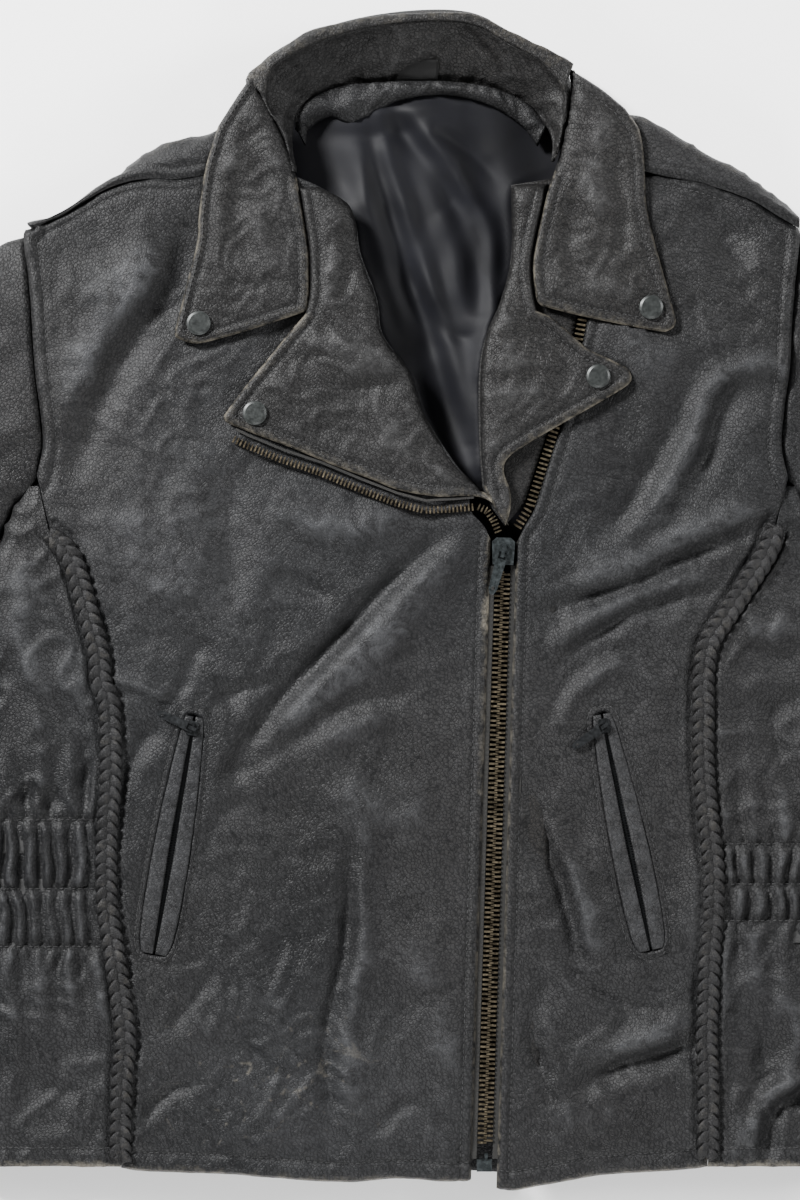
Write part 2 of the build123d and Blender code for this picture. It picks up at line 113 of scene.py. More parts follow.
# Folds in the fronts: line, half width, height; a negative height is a valley.
FOLDS = [
    ([(27, 48), (-8, 18), (-45, -22), (-82, -60), (-119, -113)], 7, -5.5),
    ([(40, 44), (4, 14), (-30, -24), (-68, -64), (-100, -106)], 16, 4.0),
    ([(5, -54), (-39, -63), (-70, -82), (-115, -110)], 8, -3.0),
    ([(2, -66), (-36, -76), (-66, -94)], 10, 2.0),
    ([(-38, -141), (-39, -185), (-43, -222), (-54, -272), (-49, -329)], 5, -3.2),
    ([(-32, -141), (-32, -215), (-40, -270), (-38, -326)], 6, 2.2),
    ([(-139, 239), (-151, 199), (-179, 159), (-202, 109), (-211, 78)], 11, -4.5),
    ([(-160, 232), (-172, 196), (-200, 150), (-220, 106)], 14, 3.0),
    ([(-119, 84), (-115, 40), (-110, -4)], 12, -3.0),
    ([(-89, 18), (-70, 13), (-51, 2)], 6, -2.6),
    ([(-132, -22), (-142, -48), (-156, -71)], 4.5, -2.4),
    ([(-188, -45), (-164, -54), (-141, -63)], 4.0, 1.9),
    ([(-79, -48), (-108, -54), (-129, -68)], 5, -2.0),
    ([(-184, -122), (-170, -88), (-151, -76)], 6, -2.5),
    ([(-174, -221), (-148, -224), (-122, -224)], 3.0, -1.7),
    ([(-123, -226), (-136, -248), (-154, -266)], 3.2, -1.5),
    ([(-129, -298), (-154, -307), (-173, -329)], 4, -2.0),
    ([(-123, -266), (-95, -285), (-67, -301)], 5, -2.0),
    ([(-132, -160), (-123, -135), (-101, -122)], 6, -1.6),
    ([(-26, -332), (-1, -313), (24, -329), (39, -348)], 5, -2.4),
    ([(242, 151), (204, 146), (185, 129), (174, 99), (149, 59), (114, 24)], 9, 4.0),
    ([(236, 134), (206, 134), (192, 118), (186, 96), (160, 52)], 9, -3.2),
    ([(178, 150), (164, 110), (140, 66), (112, 36)], 10, -3.0),
    ([(208, 209), (192, 237), (168, 245)], 12, -4.5),
    ([(227, 52), (180, 32), (130, 8), (74, -5)], 5.5, -3.2),
    ([(224, 62), (176, 44), (126, 20), (80, 6)], 9, 3.0),
    ([(192, 10), (142, -5), (102, -29), (83, -48)], 5, -2.6),
    ([(196, 22), (146, 8), (104, -14), (84, -30)], 7, 3.0),
    ([(92, -79), (105, -54), (130, -38), (156, -54)], 6, 2.4),
    ([(84, -76), (100, -46), (130, -28), (164, -44)], 6, -2.0),
    ([(142, -60), (133, -72), (125, -85)], 4, -1.5),
    ([(69, -135), (88, -163), (99, -198), (105, -226)], 6, -4.0),
    ([(78, -130), (98, -160), (109, -196), (114, -224)], 8, 3.0),
    ([(77, -204), (105, -235), (130, -249), (158, -255)], 5, -3.2),
    ([(84, -222), (108, -247), (132, -260)], 6, 2.0),
    ([(188, -272), (142, -288), (99, -302)], 7, -4.6),
    ([(184, -256), (140, -272), (100, -287)], 9, 3.2),
    ([(85, -232), (75, -269), (88, -316)], 6, -3.2),
    ([(61, -104), (74, -122), (86, -154)], 5, -2.5),
    ([(-222, 200), (-180, 196), (-150, 210)], 16, 2.5),
    ([(-90, 60), (-40, 50), (0, 58)], 12, 2.0),
    ([(-60, -120), (-10, -130), (30, -120)], 22, 1.6),
    ([(120, 220), (150, 130), (150, 60)], 20, 2.0),
    ([(-100, -10), (-150, 20), (-190, 70)], 18, 1.8),
    ([(-30, -200), (10, -240), (30, -300)], 20, 1.8),
    ([(220, -100), (150, -250)], 20, 1.2),
]
LEAF_FOLDS = [
    ([(-106, 274), (-110, 243), (-98, 214)], 6, -1.6), ([(-94, 243), (-79, 231), (-70, 214)], 4, -1.2),
    ([(-129, 212), (-108, 199), (-76, 201)], 5, -1.4), ([(-108, 302), (-94, 274), (-89, 252)], 6, -1.5),
    ([(-118, 300), (-112, 270), (-120, 240)], 8, 1.5), ([(-84, 262), (-96, 232), (-88, 206)], 7, 1.3),
    ([(-73, 164), (-45, 162), (-25, 151), (-8, 145)], 6, 2.2), ([(-51, 131), (-26, 135), (-5, 141)], 5, -1.8),
    ([(8, 102), (24, 89), (40, 76)], 4, -1.4), ([(-94, 131), (-70, 143), (-48, 148)], 7, 1.3),
    ([(-61, 190), (-48, 215), (-51, 237)], 5, 1.5), ([(-70, 102), (-45, 112), (-20, 102)], 7, -1.3),
    ([(-46, 188), (-38, 214), (-44, 240)], 5, -1.6), ([(-10, 96), (14, 84), (34, 74)], 5, 1.2),
    ([(68, 171), (92, 162), (118, 158)], 6, -1.8), ([(55, 128), (80, 131), (102, 128)], 6, 1.4),
    ([(64, 190), (74, 209), (72, 228)], 5, -1.4), ([(50, 160), (70, 152), (96, 148)], 7, 1.5),
    ([(102, 265), (99, 228), (108, 196)], 6, -1.6), ([(124, 284), (133, 252), (131, 215)], 6, -1.5),
    ([(92, 190), (118, 199), (149, 190)], 5, 1.2), ([(102, 243), (124, 237), (142, 241)], 5, -1.5),
    ([(114, 300), (116, 262), (118, 222)], 8, 1.6), ([(100, 222), (118, 214), (140, 216)], 5, 1.2),
]


# ------------------------------------------------------------------ numbers and lines
def chain_x(y, aside=0.0):
    """Where the centre of the zip chain is at a height y, plus a distance across."""
    (x1, y1), (x0, y0) = CHAIN
    return x0 + (x1 - x0) / (y1 - y0) * (np.asarray(y, float) - y0) + aside


def resample(line, step):
    """Even steps along a line of any dimension."""
    line = np.asarray(line, float)
    run = np.r_[0, np.cumsum(np.linalg.norm(np.diff(line, axis=0), axis=1))]
    n = max(int(round(run[-1] / step)), 1)
    want = np.linspace(0, run[-1], n + 1)
    return np.stack([np.interp(want, run, line[:, k]) for k in range(line.shape[1])], 1)


def smooth(points, step=2.5):
    """Catmull-Rom line through given points."""
    p = np.asarray(points, float)
    if len(p) < 3:
        return resample(p, step)
    p = np.vstack([2 * p[0] - p[1], p, 2 * p[-1] - p[-2]])
    out = []
    for i in range(1, len(p) - 2):
        t = np.linspace(0, 1, 12, endpoint=False)[:, None]
        a, b, c, d = p[i - 1], p[i], p[i + 1], p[i + 2]
        out.append(0.5 * (2 * b + (c - a) * t + (2 * a - 5 * b + 4 * c - d) * t ** 2
                          + (3 * b - a - 3 * c + d) * t ** 3))
    out.append(p[-2][None])
    return resample(np.vstack(out), step)


def loop_of(runs, step=2.5):
    """A closed outline from smooth runs that meet at corners."""
    return np.vstack([smooth(r, step)[:-1] for r in runs])


def near(line, x, y):
    """Distance to a line, run along it and side (positive to its left)."""
    line = np.asarray(line, float)
    best = np.full(np.shape(x), 1e9)
    along = np.zeros(np.shape(x))
    side = np.ones(np.shape(x))
    done = 0.0
    for (ax, ay), (bx, by) in zip(line, line[1:]):
        dx, dy = bx - ax, by - ay
        run = math.hypot(dx, dy)
        if run < 1e-9:
            continue
        t = np.clip(((x - ax) * dx + (y - ay) * dy) / run ** 2, 0, 1)
        d = np.hypot(x - ax - t * dx, y - ay - t * dy)
        hit = d < best
        best = np.where(hit, d, best)
        along = np.where(hit, done + t * run, along)
        side = np.where(hit, np.sign(dx * (y - ay) - dy * (x - ax)), side)
        done += run
    return best, along, side, done


def inside(loop, x, y):
    """Which points lie inside a closed outline."""
    hit = np.zeros(np.shape(x), bool)
    for (ax, ay), (bx, by) in zip(loop, np.roll(loop, -1, axis=0)):
        if ay == by:
            continue
        cross = ((ay > y) != (by > y)) & (x < (bx - ax) * (y - ay) / (by - ay) + ax)
        hit ^= cross
    return hit


_rng = np.random.default_rng(7)
_turn = _rng.random((12, 256, 256)) * 2 * math.pi


def noise(x, y, size, seed=0):
    """Gradient noise, about -1 to 1, with features of the given size."""
    u, v = np.asarray(x, float) / size, np.asarray(y, float) / size
    i, j = np.floor(u).astype(int), np.floor(v).astype(int)
    fu, fv = u - i, v - j
    g = _turn[seed % 12]

    def corner(a, b):
        turn = g[(i + a + seed * 17) & 255, (j + b + seed * 31) & 255]
        return np.cos(turn) * (fu - a) + np.sin(turn) * (fv - b)
    su, sv = fu ** 3 * (fu * (6 * fu - 15) + 10), fv ** 3 * (fv * (6 * fv - 15) + 10)
    low = corner(0, 0) * (1 - su) + corner(1, 0) * su
    high = corner(0, 1) * (1 - su) + corner(1, 1) * su
    return (low * (1 - sv) + high * sv) * 1.5


def layered(x, y, size, seed=0, octaves=3):
    """Several sizes of seeded noise added up."""
    total, weight = 0, 1.0
    for k in range(octaves):
        total = total + noise(x + 13 * k, y - 7 * k, size / 2 ** k, seed + k) * weight
        weight *= 0.5
    return total


def ridged(x, y, size, seed=0):
    """Sharp-crested crumple noise, 0 to 1."""
    wx = x + noise(x, y, size * 1.6, seed + 3) * size * 0.6
    wy = y + noise(x, y, size * 1.6, seed + 5) * size * 0.6
    a = 1 - np.abs(noise(wx, wy, size, seed)) * 1.7
    return np.clip(a, 0, 1) ** 2


def ease(v, a, b):
    """Smooth step from a to b."""
    t = np.clip((v - a) / (b - a), 0, 1)
    return t * t * (3 - 2 * t)


def blob(x, y, cx, cy, rx, ry):
    """Soft round patch of height one."""
    return np.exp(-(((x - cx) / rx) ** 2 + ((y - cy) / ry) ** 2))


_fold_lines = [(smooth(p, 8), w, h) for p, w, h in FOLDS]
_leaf_lines = [(smooth(p, 6), w, h) for p, w, h in LEAF_FOLDS]


def folds(lines, x, y):
    """Height of drawn folds: each is a line, a width and a height."""
    total = np.zeros(np.shape(x))
    for line, wide, high in lines:
        d, s, _, long = near(line, x, y)
        taper = np.sin(np.clip(s / long, 0, 1) * math.pi) ** 0.6
        wob = 1 + 0.35 * noise(x, y, 24, 2)
        total += high * wob * taper * np.exp(-(d / wide) ** 2)
    return total


# ------------------------------------------------------------------ surfaces
WING_LOOP = {-1: loop_of(WING_R), 1: loop_of(WING_L)}
LAPEL_LOOP = {-1: loop_of(LAPEL_R), 1: loop_of(LAPEL_L)}
CHAIN_LINE = [(float(chain_x(40)), 40), (float(chain_x(-360)), -360)]
SLOTS = {-1: ((-148.5, -144.5), math.radians(-9.7)), 1: ((134.0, -142.5), math.radians(11.8))}


def slot_frame(side, x, y):
    """Across and along a slanted pocket."""
    (cx, cy), turn = SLOTS[side]
    dx, dy = x - cx, y - cy
    return dx * math.cos(turn) + dy * math.sin(turn), -dx * math.sin(turn) + dy * math.cos(turn)


def offset(line, by, step=2.0):
    """A line moved sideways, positive to its left."""
    p = smooth(line, step)
    t = np.gradient(p, axis=0)
    t /= np.linalg.norm(t, axis=1, keepdims=True)
    return p + np.stack([-t[:, 1], t[:, 0]], 1) * by


def pocket_half(v):
    """Half width of a pocket mouth: leaf-shaped, widest low down."""
    return np.interp(v, (-77, -73, -66, -50, -20, 15, 45, 66, 77),
                     (5.6, 8.0, 9.6, 10.6, 10.9, 9.9, 8.0, 6.2, 4.4))


def pocket_line(side, out=0.0):
    """Closed leaf-shaped line round a pocket mouth, a distance outside it."""
    (cx, cy), turn = SLOTS[side]
    c, s = math.cos(turn), math.sin(turn)
    v = np.linspace(-76 - out, 76 + out, 60)
    half = pocket_half(np.clip(v, -76, 76)) + out
    half = half * np.sqrt(np.clip((76 + out + 0.4 - np.abs(v)) / (1.2 + out * 0.8), 0.3, 1))
    leaf = list(zip(half, v)) + list(zip(-half[::-1], v[::-1])) + [(half[0], v[0])]
    return [(cx + u * c - w * s, cy + u * s + w * c) for u, w in leaf]


def calm(x, y):
    """0 at the zips and the pocket mouths, where the leather lies at its sewn height, and 1 away from them.
    """
    k = ease(near(CHAIN_LINE, x, y)[0], 7, 26)
    k = k * ease(near(smooth(OPEN_ROW, 6), x, y)[0], 5, 22)
    for side in (-1, 1):
        u, v = slot_frame(side, x, y)
        k = k * ease(np.hypot(np.maximum(np.abs(u) - 8, 0), np.maximum(np.abs(v) - 76, 0)), 0, 18)
    return k


def under_leaves(x, y):
    """1 where a collar wing or lapel lies over the front."""
    hit = np.zeros(np.shape(x))
    for loop in (WING_LOOP[-1], WING_LOOP[1], LAPEL_LOOP[-1], LAPEL_LOOP[1]):
        hit = np.maximum(hit, inside(loop, x, y).astype(float))
    return hit


def crumple(x, y):
    """Small sharp creases where the leather is creased most."""
    mask = 0.18 + 0.9 * blob(x, y, -95, -270, 75, 70) + 0.6 * blob(x, y, 100, -290, 60, 60)
    mask += (0.55 * blob(x, y, -150, 120, 60, 70) + 0.5 * blob(x, y, 150, 0, 60, 60)
             + 0.45 * blob(x, y, -120, -60, 60, 40))
    mask += (0.45 * blob(x, y, -20, -330, 50, 30) + 0.5 * blob(x, y, 190, 200, 50, 40)
             + 0.4 * blob(x, y, 90, -200, 40, 60))
    return (ridged(x, y, 24, 1) * 2.1 + ridged(x + 9, y * 1.25, 12, 4) * 0.9) * np.clip(mask, 0, 1.1)


def front_height(x, y):
    """Outer face of both fronts before their sewn edges."""
    wave = layered(x, y, 90, 2, 2) * 2.0 + layered(x, y, 38, 6, 2) * 1.5 + layered(x, y, 18, 8, 2) * 0.6
    z = folds(_fold_lines, x, y) * 1.55 + wave + crumple(x, y) - 0.5
    k = calm(x, y)
    z = z * (0.06 + 0.94 * k)
    over = under_leaves(x, y)
    z = np.where(over > 0, np.minimum(z, 0.2) - 0.3, z)
    return TOP + z


def mesh_object(name, verts, faces, smooth_shade=True):
    """New mesh object from millimetre points."""
    data = bpy.data.meshes.new(name)
    data.from_pydata([tuple(v) for v in np.asarray(verts) * MM], [],
                     [tuple(int(i) for i in f) for f in faces])
    data.update()
    obj = bpy.data.objects.new(name, data)
    bpy.context.scene.collection.objects.link(obj)
    if smooth_shade:
        data.polygons.foreach_set("use_smooth", [True] * len(data.polygons))
    return obj


def paint(obj, name, values):
    """A per-point value for the material to read."""
    attribute = obj.data.attributes.new(name, "FLOAT", "POINT")
    attribute.data.foreach_set("value", np.asarray(values, np.float32))


def thicken(obj, thick, offset=-1.0):
    """Give a sheet its thickness, applied to the mesh."""
    mod = obj.modifiers.new("leather", "SOLIDIFY")
    mod.thickness = thick * MM
    mod.offset = offset
    mod.use_even_offset = False
    bpy.context.view_layer.objects.active = obj
    bpy.context.view_layer.update()
    graph = bpy.context.evaluated_depsgraph_get()
    solid = bpy.data.meshes.new_from_object(obj.evaluated_get(graph))
    obj.modifiers.remove(mod)
    obj.data = solid
    return obj


def fill(loop, step, holes=(), seam_rows=()):
    """Triangles over an outline: even points inside, the outline at its edge, and rows where a seam runs."""
    x0, y0 = loop.min(0)
    x1, y1 = loop.max(0)
    rows = np.arange(y0, y1, step * 0.866)
    pts = []
    for k, y in enumerate(rows):
        xs = np.arange(x0 + (k % 2) * step / 2, x1, step)
        pts.append(np.stack([xs, np.full(len(xs), y)], 1))
    pts = np.vstack(pts)
    keep = inside(loop, pts[:, 0], pts[:, 1])
    pts = pts[keep]
    d = near(np.vstack([loop, loop[:1]]), pts[:, 0], pts[:, 1])[0]
    pts = pts[d > step * 0.55]
    seams = np.zeros((0, 2))
    for row in seam_rows:
        row = resample(row, 2.2)
        row = row[inside(loop, row[:, 0], row[:, 1])]
        row = row[near(np.vstack([loop, loop[:1]]), row[:, 0], row[:, 1])[0] > 0.5] if len(row) else row
        for hole in holes:
            row = row[~inside(hole, row[:, 0], row[:, 1])] if len(row) else row
        if len(row) and len(seams):
            gap = np.min(np.hypot(row[:, None, 0] - seams[None, :, 0], row[:, None, 1] - seams[None, :, 1]),
                         axis=1)
            row = row[gap > 0.6]
        seams = np.vstack([seams, row])
    if len(seams):
        cells = {(int(a // 2), int(b // 2)) for a, b in seams}
        spread = {(a + i, b + j) for a, b in cells for i in (-1, 0, 1) for j in (-1, 0, 1)}
        pts = np.array([p for p in pts if (int(p[0] // 2), int(p[1] // 2)) not in spread])
    rings = [loop]
    for hole in holes:
        d = near(np.vstack([hole, hole[:1]]), pts[:, 0], pts[:, 1])[0]
        pts = pts[(d > step * 0.55) & ~inside(hole, pts[:, 0], pts[:, 1])]
        rings.append(hole)
    verts, edges, base = [], [], 0
    for ring in rings:
        verts += [Vector(p) for p in ring]
        edges += [(base + i, base + (i + 1) % len(ring)) for i in range(len(ring))]
        base += len(ring)
    verts += [Vector(p) for p in np.vstack([pts, seams])]
    out, _, faces, _, _, _ = delaunay_2d_cdt(verts, edges, [], 1, 1e-4)
    out = np.array([tuple(v) for v in out])
    faces = np.array(faces)
    for hole in holes:
        mid = out[faces].mean(1)
        faces = faces[~inside(hole, mid[:, 0], mid[:, 1])]
    a, b, c = out[faces[:, 0]], out[faces[:, 1]], out[faces[:, 2]]
    turn = (b[:, 0] - a[:, 0]) * (c[:, 1] - a[:, 1]) - (b[:, 1] - a[:, 1]) * (c[:, 0] - a[:, 0])
    faces[turn < 0] = faces[turn < 0][:, ::-1]
    return out, faces


def round_over(d, r):
    """Drop of a surface as it turns down within r of its edge."""
    t = np.clip(1 - d / r, 0, 1)
    return -r * (1 - np.sqrt(np.clip(1 - t * t, 0, 1)))


def grid_faces(rows, cols, wrap=False):
    """Quads of a regular grid, closed across when wrap is set."""
    i, j = np.meshgrid(np.arange(rows - 1), np.arange(cols - (0 if wrap else 1)), indexing="ij")
    a = i * cols + j
    b = i * cols + (j + 1) % cols
    return np.stack([a, b, b + cols, a + cols], -1).reshape(-1, 4)


def faces_up(grid, faces):
    """Face order whose upper faces look up, so thickness always grows inward."""
    verts = grid.reshape(-1, 3)
    a, b, c = (verts[faces[:, k]] for k in range(3))
    n = np.cross(b - a, c - a)[:, 2]
    return faces if n[a[:, 2] > np.percentile(a[:, 2], 60)].sum() > 0 else faces[:, ::-1]


def push(grid, high, closed=False):
    """Moves a grid of points along its own normals."""
    du = np.gradient(grid, axis=0)
    dv = np.gradient(grid, axis=1)
    n = np.cross(du, dv)
    n /= np.maximum(np.linalg.norm(n, axis=2, keepdims=True), 1e-9)
    return grid + n * high[..., None], n


# ------------------------------------------------------------------ materials
def nodes_of(name):
    """New material with its node tree, shader and object coordinates."""
    mat = bpy.data.materials.new(name)
    mat.use_nodes = True
    tree = mat.node_tree
    tree.nodes.clear()
    out = tree.nodes.new("ShaderNodeOutputMaterial")
    bsdf = tree.nodes.new("ShaderNodeBsdfPrincipled")
    tree.links.new(bsdf.outputs[0], out.inputs[0])
    coord = tree.nodes.new("ShaderNodeTexCoord")
    return mat, tree, bsdf, coord.outputs["Object"]


def texture(tree, kind, coord, scale, **settings):
    """Texture node with named inputs set."""
    node = tree.nodes.new(kind)
    tree.links.new(coord, node.inputs["Vector"])
    node.inputs["Scale"].default_value = scale
    for key, value in settings.items():
        if key in node.inputs:
            node.inputs[key].default_value = value
        else:
            setattr(node, key, value)
    return node


def ramp(tree, value, stops):
    """Colour ramp on a value."""
    node = tree.nodes.new("ShaderNodeValToRGB")
    tree.links.new(value, node.inputs[0])
    line = node.color_ramp
    while len(line.elements) < len(stops):
        line.elements.new(0.5)
    for element, (at, colour) in zip(line.elements, stops):
        element.position = at
        element.color = (*colour, 1) if len(colour) == 3 else colour
    return node.outputs[0]


def grey(v):
    """Grey colour of a level."""
    return (v, v, v)


def mix(tree, factor, a, b, kind="MIX"):
    """Mix two colours by a factor."""
    node = tree.nodes.new("ShaderNodeMix")
    node.data_type = "RGBA"
    node.blend_type = kind
    for socket, value in ((node.inputs[0], factor), (node.inputs[6], a), (node.inputs[7], b)):
        if hasattr(value, "is_output"):
            tree.links.new(value, socket)
        elif isinstance(value, (int, float)):
            socket.default_value = value
        else:
            socket.default_value = (*value, 1)
    return node.outputs[2]


def maths(tree, kind, a, b=0.5):
    """Math node on two values."""
    node = tree.nodes.new("ShaderNodeMath")
    node.operation = kind
    for socket, value in ((node.inputs[0], a), (node.inputs[1], b)):
        if hasattr(value, "is_output"):
            tree.links.new(value, socket)
        else:
            socket.default_value = value
    return node.outputs[0]


def bump(tree, height, strength, distance, below=None):
    """Bump node, chained to an earlier one."""
    node = tree.nodes.new("ShaderNodeBump")
    node.inputs["Strength"].default_value = strength
    node.inputs["Distance"].default_value = distance
    tree.links.new(height, node.inputs["Height"])
    if below is not None:
        tree.links.new(below, node.inputs["Normal"])
    return node.outputs[0]


def value_of(tree, name):
    """Value painted on the mesh under a name."""
    node = tree.nodes.new("ShaderNodeAttribute")
    node.attribute_name = name
    return node.outputs["Fac"]


def leather_material(name, dark, pale, rough=0.5, grain=1.0):
    """Pebbled leather: faded patches, a painted highlight on raised crests, painted shade in seam grooves,
    and tan from a point value, which is edge wear and on collar and lapel rims also a painted highlight.
    """
    mat, tree, bsdf, at = nodes_of(name)
    patch = texture(tree, "ShaderNodeTexNoise", at, 11.0, Detail=6.0, Roughness=0.62)
    tone = ramp(tree, patch.outputs["Fac"], [(0.32, dark), (0.72, pale)])
    warm = texture(tree, "ShaderNodeTexNoise", at, 4.0, Detail=2.0)
    tone = mix(tree, ramp(tree, warm.outputs["Fac"], [(0.35, grey(0.0)), (0.7, grey(0.45))]), tone,
               (pale[0] * 1.15, pale[1] * 1.04, pale[2] * 0.92))
    bend = texture(tree, "ShaderNodeTexNoise", at, 160.0, Detail=3.0)
    move = tree.nodes.new("ShaderNodeVectorMath")
    move.operation = "MULTIPLY_ADD"
    tree.links.new(bend.outputs["Color"], move.inputs[0])
    move.inputs[1].default_value = (0.0022, 0.0022, 0.0022)
    tree.links.new(at, move.inputs[2])
    cells = texture(tree, "ShaderNodeTexVoronoi", move.outputs[0], 430.0 * grain, feature="DISTANCE_TO_EDGE")
    small = texture(tree, "ShaderNodeTexVoronoi", move.outputs[0], 900.0 * grain, feature="DISTANCE_TO_EDGE")
    line = texture(tree, "ShaderNodeTexNoise", at, 70.0, Detail=9.0, Roughness=0.72, Distortion=1.4)
    pebble = ramp(tree, cells.outputs["Distance"], [(0.0, grey(0)), (0.22, grey(1))])
    tone = mix(tree, pebble, tuple(c * 0.45 for c in dark), tone)
    fine = texture(tree, "ShaderNodeTexNoise", at, 320.0, Detail=5.0, Roughness=0.75)
    tone = mix(tree, ramp(tree, fine.outputs["Fac"], [(0.5, grey(0)), (0.72, grey(0.3))]), tone,
               tuple(min(c * 1.8, 1) for c in pale))
    # Painted shade: darker in the seam and stitch grooves, from a point value.
    tone = mix(tree, maths(tree, "MULTIPLY", value_of(tree, "groove"), 0.8), tone,
               tuple(c * 0.25 for c in dark))
    # Painted highlight: lighter on raised crests, from a point value, broken up by a noise.
    crest = value_of(tree, "crest")
    crest_breakup = ramp(tree, line.outputs["Fac"], [(0.42, grey(0.15)), (0.62, grey(1.0))])
    tone = mix(tree, maths(tree, "MULTIPLY", maths(tree, "MULTIPLY", crest, crest_breakup), 0.75), tone,
               tuple(min(c * 2.6, 1) for c in pale))
    # Tan from a point value: edge wear, which on collar and lapel rims also stands for a painted highlight.
    wear = value_of(tree, "wear")
    tan_breakup = texture(tree, "ShaderNodeTexNoise", at, 130.0, Detail=7.0, Roughness=0.8)
    tan_wear_and_highlight = maths(tree, "MULTIPLY", wear, ramp(tree, tan_breakup.outputs["Fac"],
                                                [(0.38, grey(0.0)), (0.60, grey(1.0))]))
    tone = mix(tree, ramp(tree, tan_wear_and_highlight, [(0.06, grey(0.0)), (0.70, grey(0.66))]), tone, (0.205, 0.185, 0.148))
    tree.links.new(tone, bsdf.inputs["Base Color"])
    matte = ramp(tree, patch.outputs["Fac"], [(0.3, grey(rough - 0.08)), (0.75, grey(rough + 0.10))])
    tree.links.new(matte, bsdf.inputs["Roughness"])
    bsdf.inputs["Specular IOR Level"].default_value = 0.125
    b = bump(tree, line.outputs["Fac"], 0.5, 0.0009)
    b = bump(tree, pebble, 0.6, 0.00028, b)
    b = bump(tree, ramp(tree, small.outputs["Distance"], [(0.0, grey(0)), (0.3, grey(1))]), 0.45, 0.00015, b)
    tree.links.new(b, bsdf.inputs["Normal"])
    return mat


def cloth_material(name, dark, pale, rough, weave, sheen=0.0, bump_by=0.3):
    """Woven cloth with soft patches."""
    mat, tree, bsdf, at = nodes_of(name)
    patch = texture(tree, "ShaderNodeTexNoise", at, 22.0, Detail=4.0)
    tone = ramp(tree, patch.outputs["Fac"], [(0.3, dark), (0.7, pale)])
    thread = texture(tree, "ShaderNodeTexWave", at, weave, Distortion=0.6, Detail=1.0)
    cross = texture(tree, "ShaderNodeTexWave", at, weave, Distortion=0.6, Detail=1.0, bands_direction="Y")
    tone = mix(tree, maths(tree, "MULTIPLY", thread.outputs["Fac"], 0.25), tone, tuple(c * 1.6 for c in pale))
    tree.links.new(tone, bsdf.inputs["Base Color"])
    tree.links.new(ramp(tree, patch.outputs["Fac"], [(0.3, grey(rough - 0.05)), (0.7, grey(rough + 0.07))]),
                   bsdf.inputs["Roughness"])
    bsdf.inputs["Sheen Weight"].default_value = sheen
    bsdf.inputs["Specular IOR Level"].default_value = 0.13
    b = bump(tree, thread.outputs["Fac"], bump_by, 0.0002)
    b = bump(tree, cross.outputs["Fac"], bump_by, 0.0002, b)
    tree.links.new(b, bsdf.inputs["Normal"])
    return mat


def metal_material(name, dark, pale, rough, metallic=1.0):
    """Worn metal."""
    mat, tree, bsdf, at = nodes_of(name)
    patch = texture(tree, "ShaderNodeTexNoise", at, 420.0, Detail=6.0, Roughness=0.7)
    wide = texture(tree, "ShaderNodeTexNoise", at, 60.0, Detail=3.0)
    tone = ramp(tree, patch.outputs["Fac"], [(0.35, dark), (0.68, pale)])
    tone = mix(tree, ramp(tree, wide.outputs["Fac"], [(0.4, grey(0.0)), (0.7, grey(0.5))]), tone, dark)
    tree.links.new(tone, bsdf.inputs["Base Color"])
    tree.links.new(ramp(tree, patch.outputs["Fac"], [(0.3, grey(rough - 0.08)), (0.7, grey(rough + 0.14))]),
                   bsdf.inputs["Roughness"])
    bsdf.inputs["Metallic"].default_value = metallic
    tree.links.new(bump(tree, patch.outputs["Fac"], 0.35, 0.0001), bsdf.inputs["Normal"])
    return mat


LEATHER = leather_material("jacket_leather", (0.0052, 0.0054, 0.0059), (0.0135, 0.0138, 0.0146), 0.50)
# Leather of the collar and lapels; the tan along their rims is edge wear and also a painted highlight.
EDGE_LEATHER = leather_material("worn_edge_leather", (0.0056, 0.0056, 0.0058), (0.0140, 0.0140, 0.0142), 0.48)
BRAID_LEATHER = leather_material("braid_leather", (0.0036, 0.0036, 0.0039), (0.0092, 0.0092, 0.0096), 0.48,
                                 1.5)
INNER_LEATHER = leather_material("inner_leather", (0.0045, 0.0045, 0.0048), (0.0115, 0.0112, 0.0110), 0.60)
SATIN = cloth_material("lining_satin", (0.0008, 0.0008, 0.0013), (0.0020, 0.0021, 0.0036), 0.60, 2600, 0.01,
                       0.10)
TAPE = cloth_material("zip_tape_twill", (0.0060, 0.0060, 0.0058), (0.0160, 0.0155, 0.0145), 0.8, 1500, 0.1,
                      0.5)
ELASTIC = cloth_material("elastic_weave", (0.012, 0.012, 0.012), (0.03, 0.03, 0.03), 0.75, 900, 0.1, 0.6)
LABEL = cloth_material("label_weave", (0.004, 0.004, 0.004), (0.010, 0.010, 0.010), 0.6, 2200, 0.0, 0.4)
THREAD = cloth_material("stitch_thread", (0.0040, 0.0040, 0.0044), (0.0200, 0.0200, 0.0205), 0.5, 3000, 0.1,
                        0.4)
BRASS = metal_material("antique_brass", (0.028, 0.023, 0.016), (0.165, 0.138, 0.094), 0.44)
GUNMETAL = metal_material("gunmetal", (0.014, 0.017, 0.018), (0.055, 0.064, 0.067), 0.36, 0.8)
DARK_METAL = metal_material("black_metal", (0.006, 0.0065, 0.007), (0.026, 0.028, 0.030), 0.33, 0.7)
CAP_ENAMEL = metal_material("cap_enamel", (0.006, 0.0072, 0.0070), (0.018, 0.021, 0.020), 0.42, 0.35)


def dress(obj, mat, body="jacket", nodes=()):
    """Put a material and its body on a piece, and name the CAD nodes that it replaces."""
    obj.data.materials.clear()
    obj.data.materials.append(mat)
    if body:
        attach(obj, body)
    if nodes:
        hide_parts(*nodes)
    return obj


def finish_panel(obj, thick, wear, crest, groove=None):
    """Adds point values, then thickness; the values follow the points through."""
    if groove is not None:
        paint(obj, "groove", groove)
    paint(obj, "wear", wear)
    paint(obj, "crest", crest)
    return thicken(obj, thick)


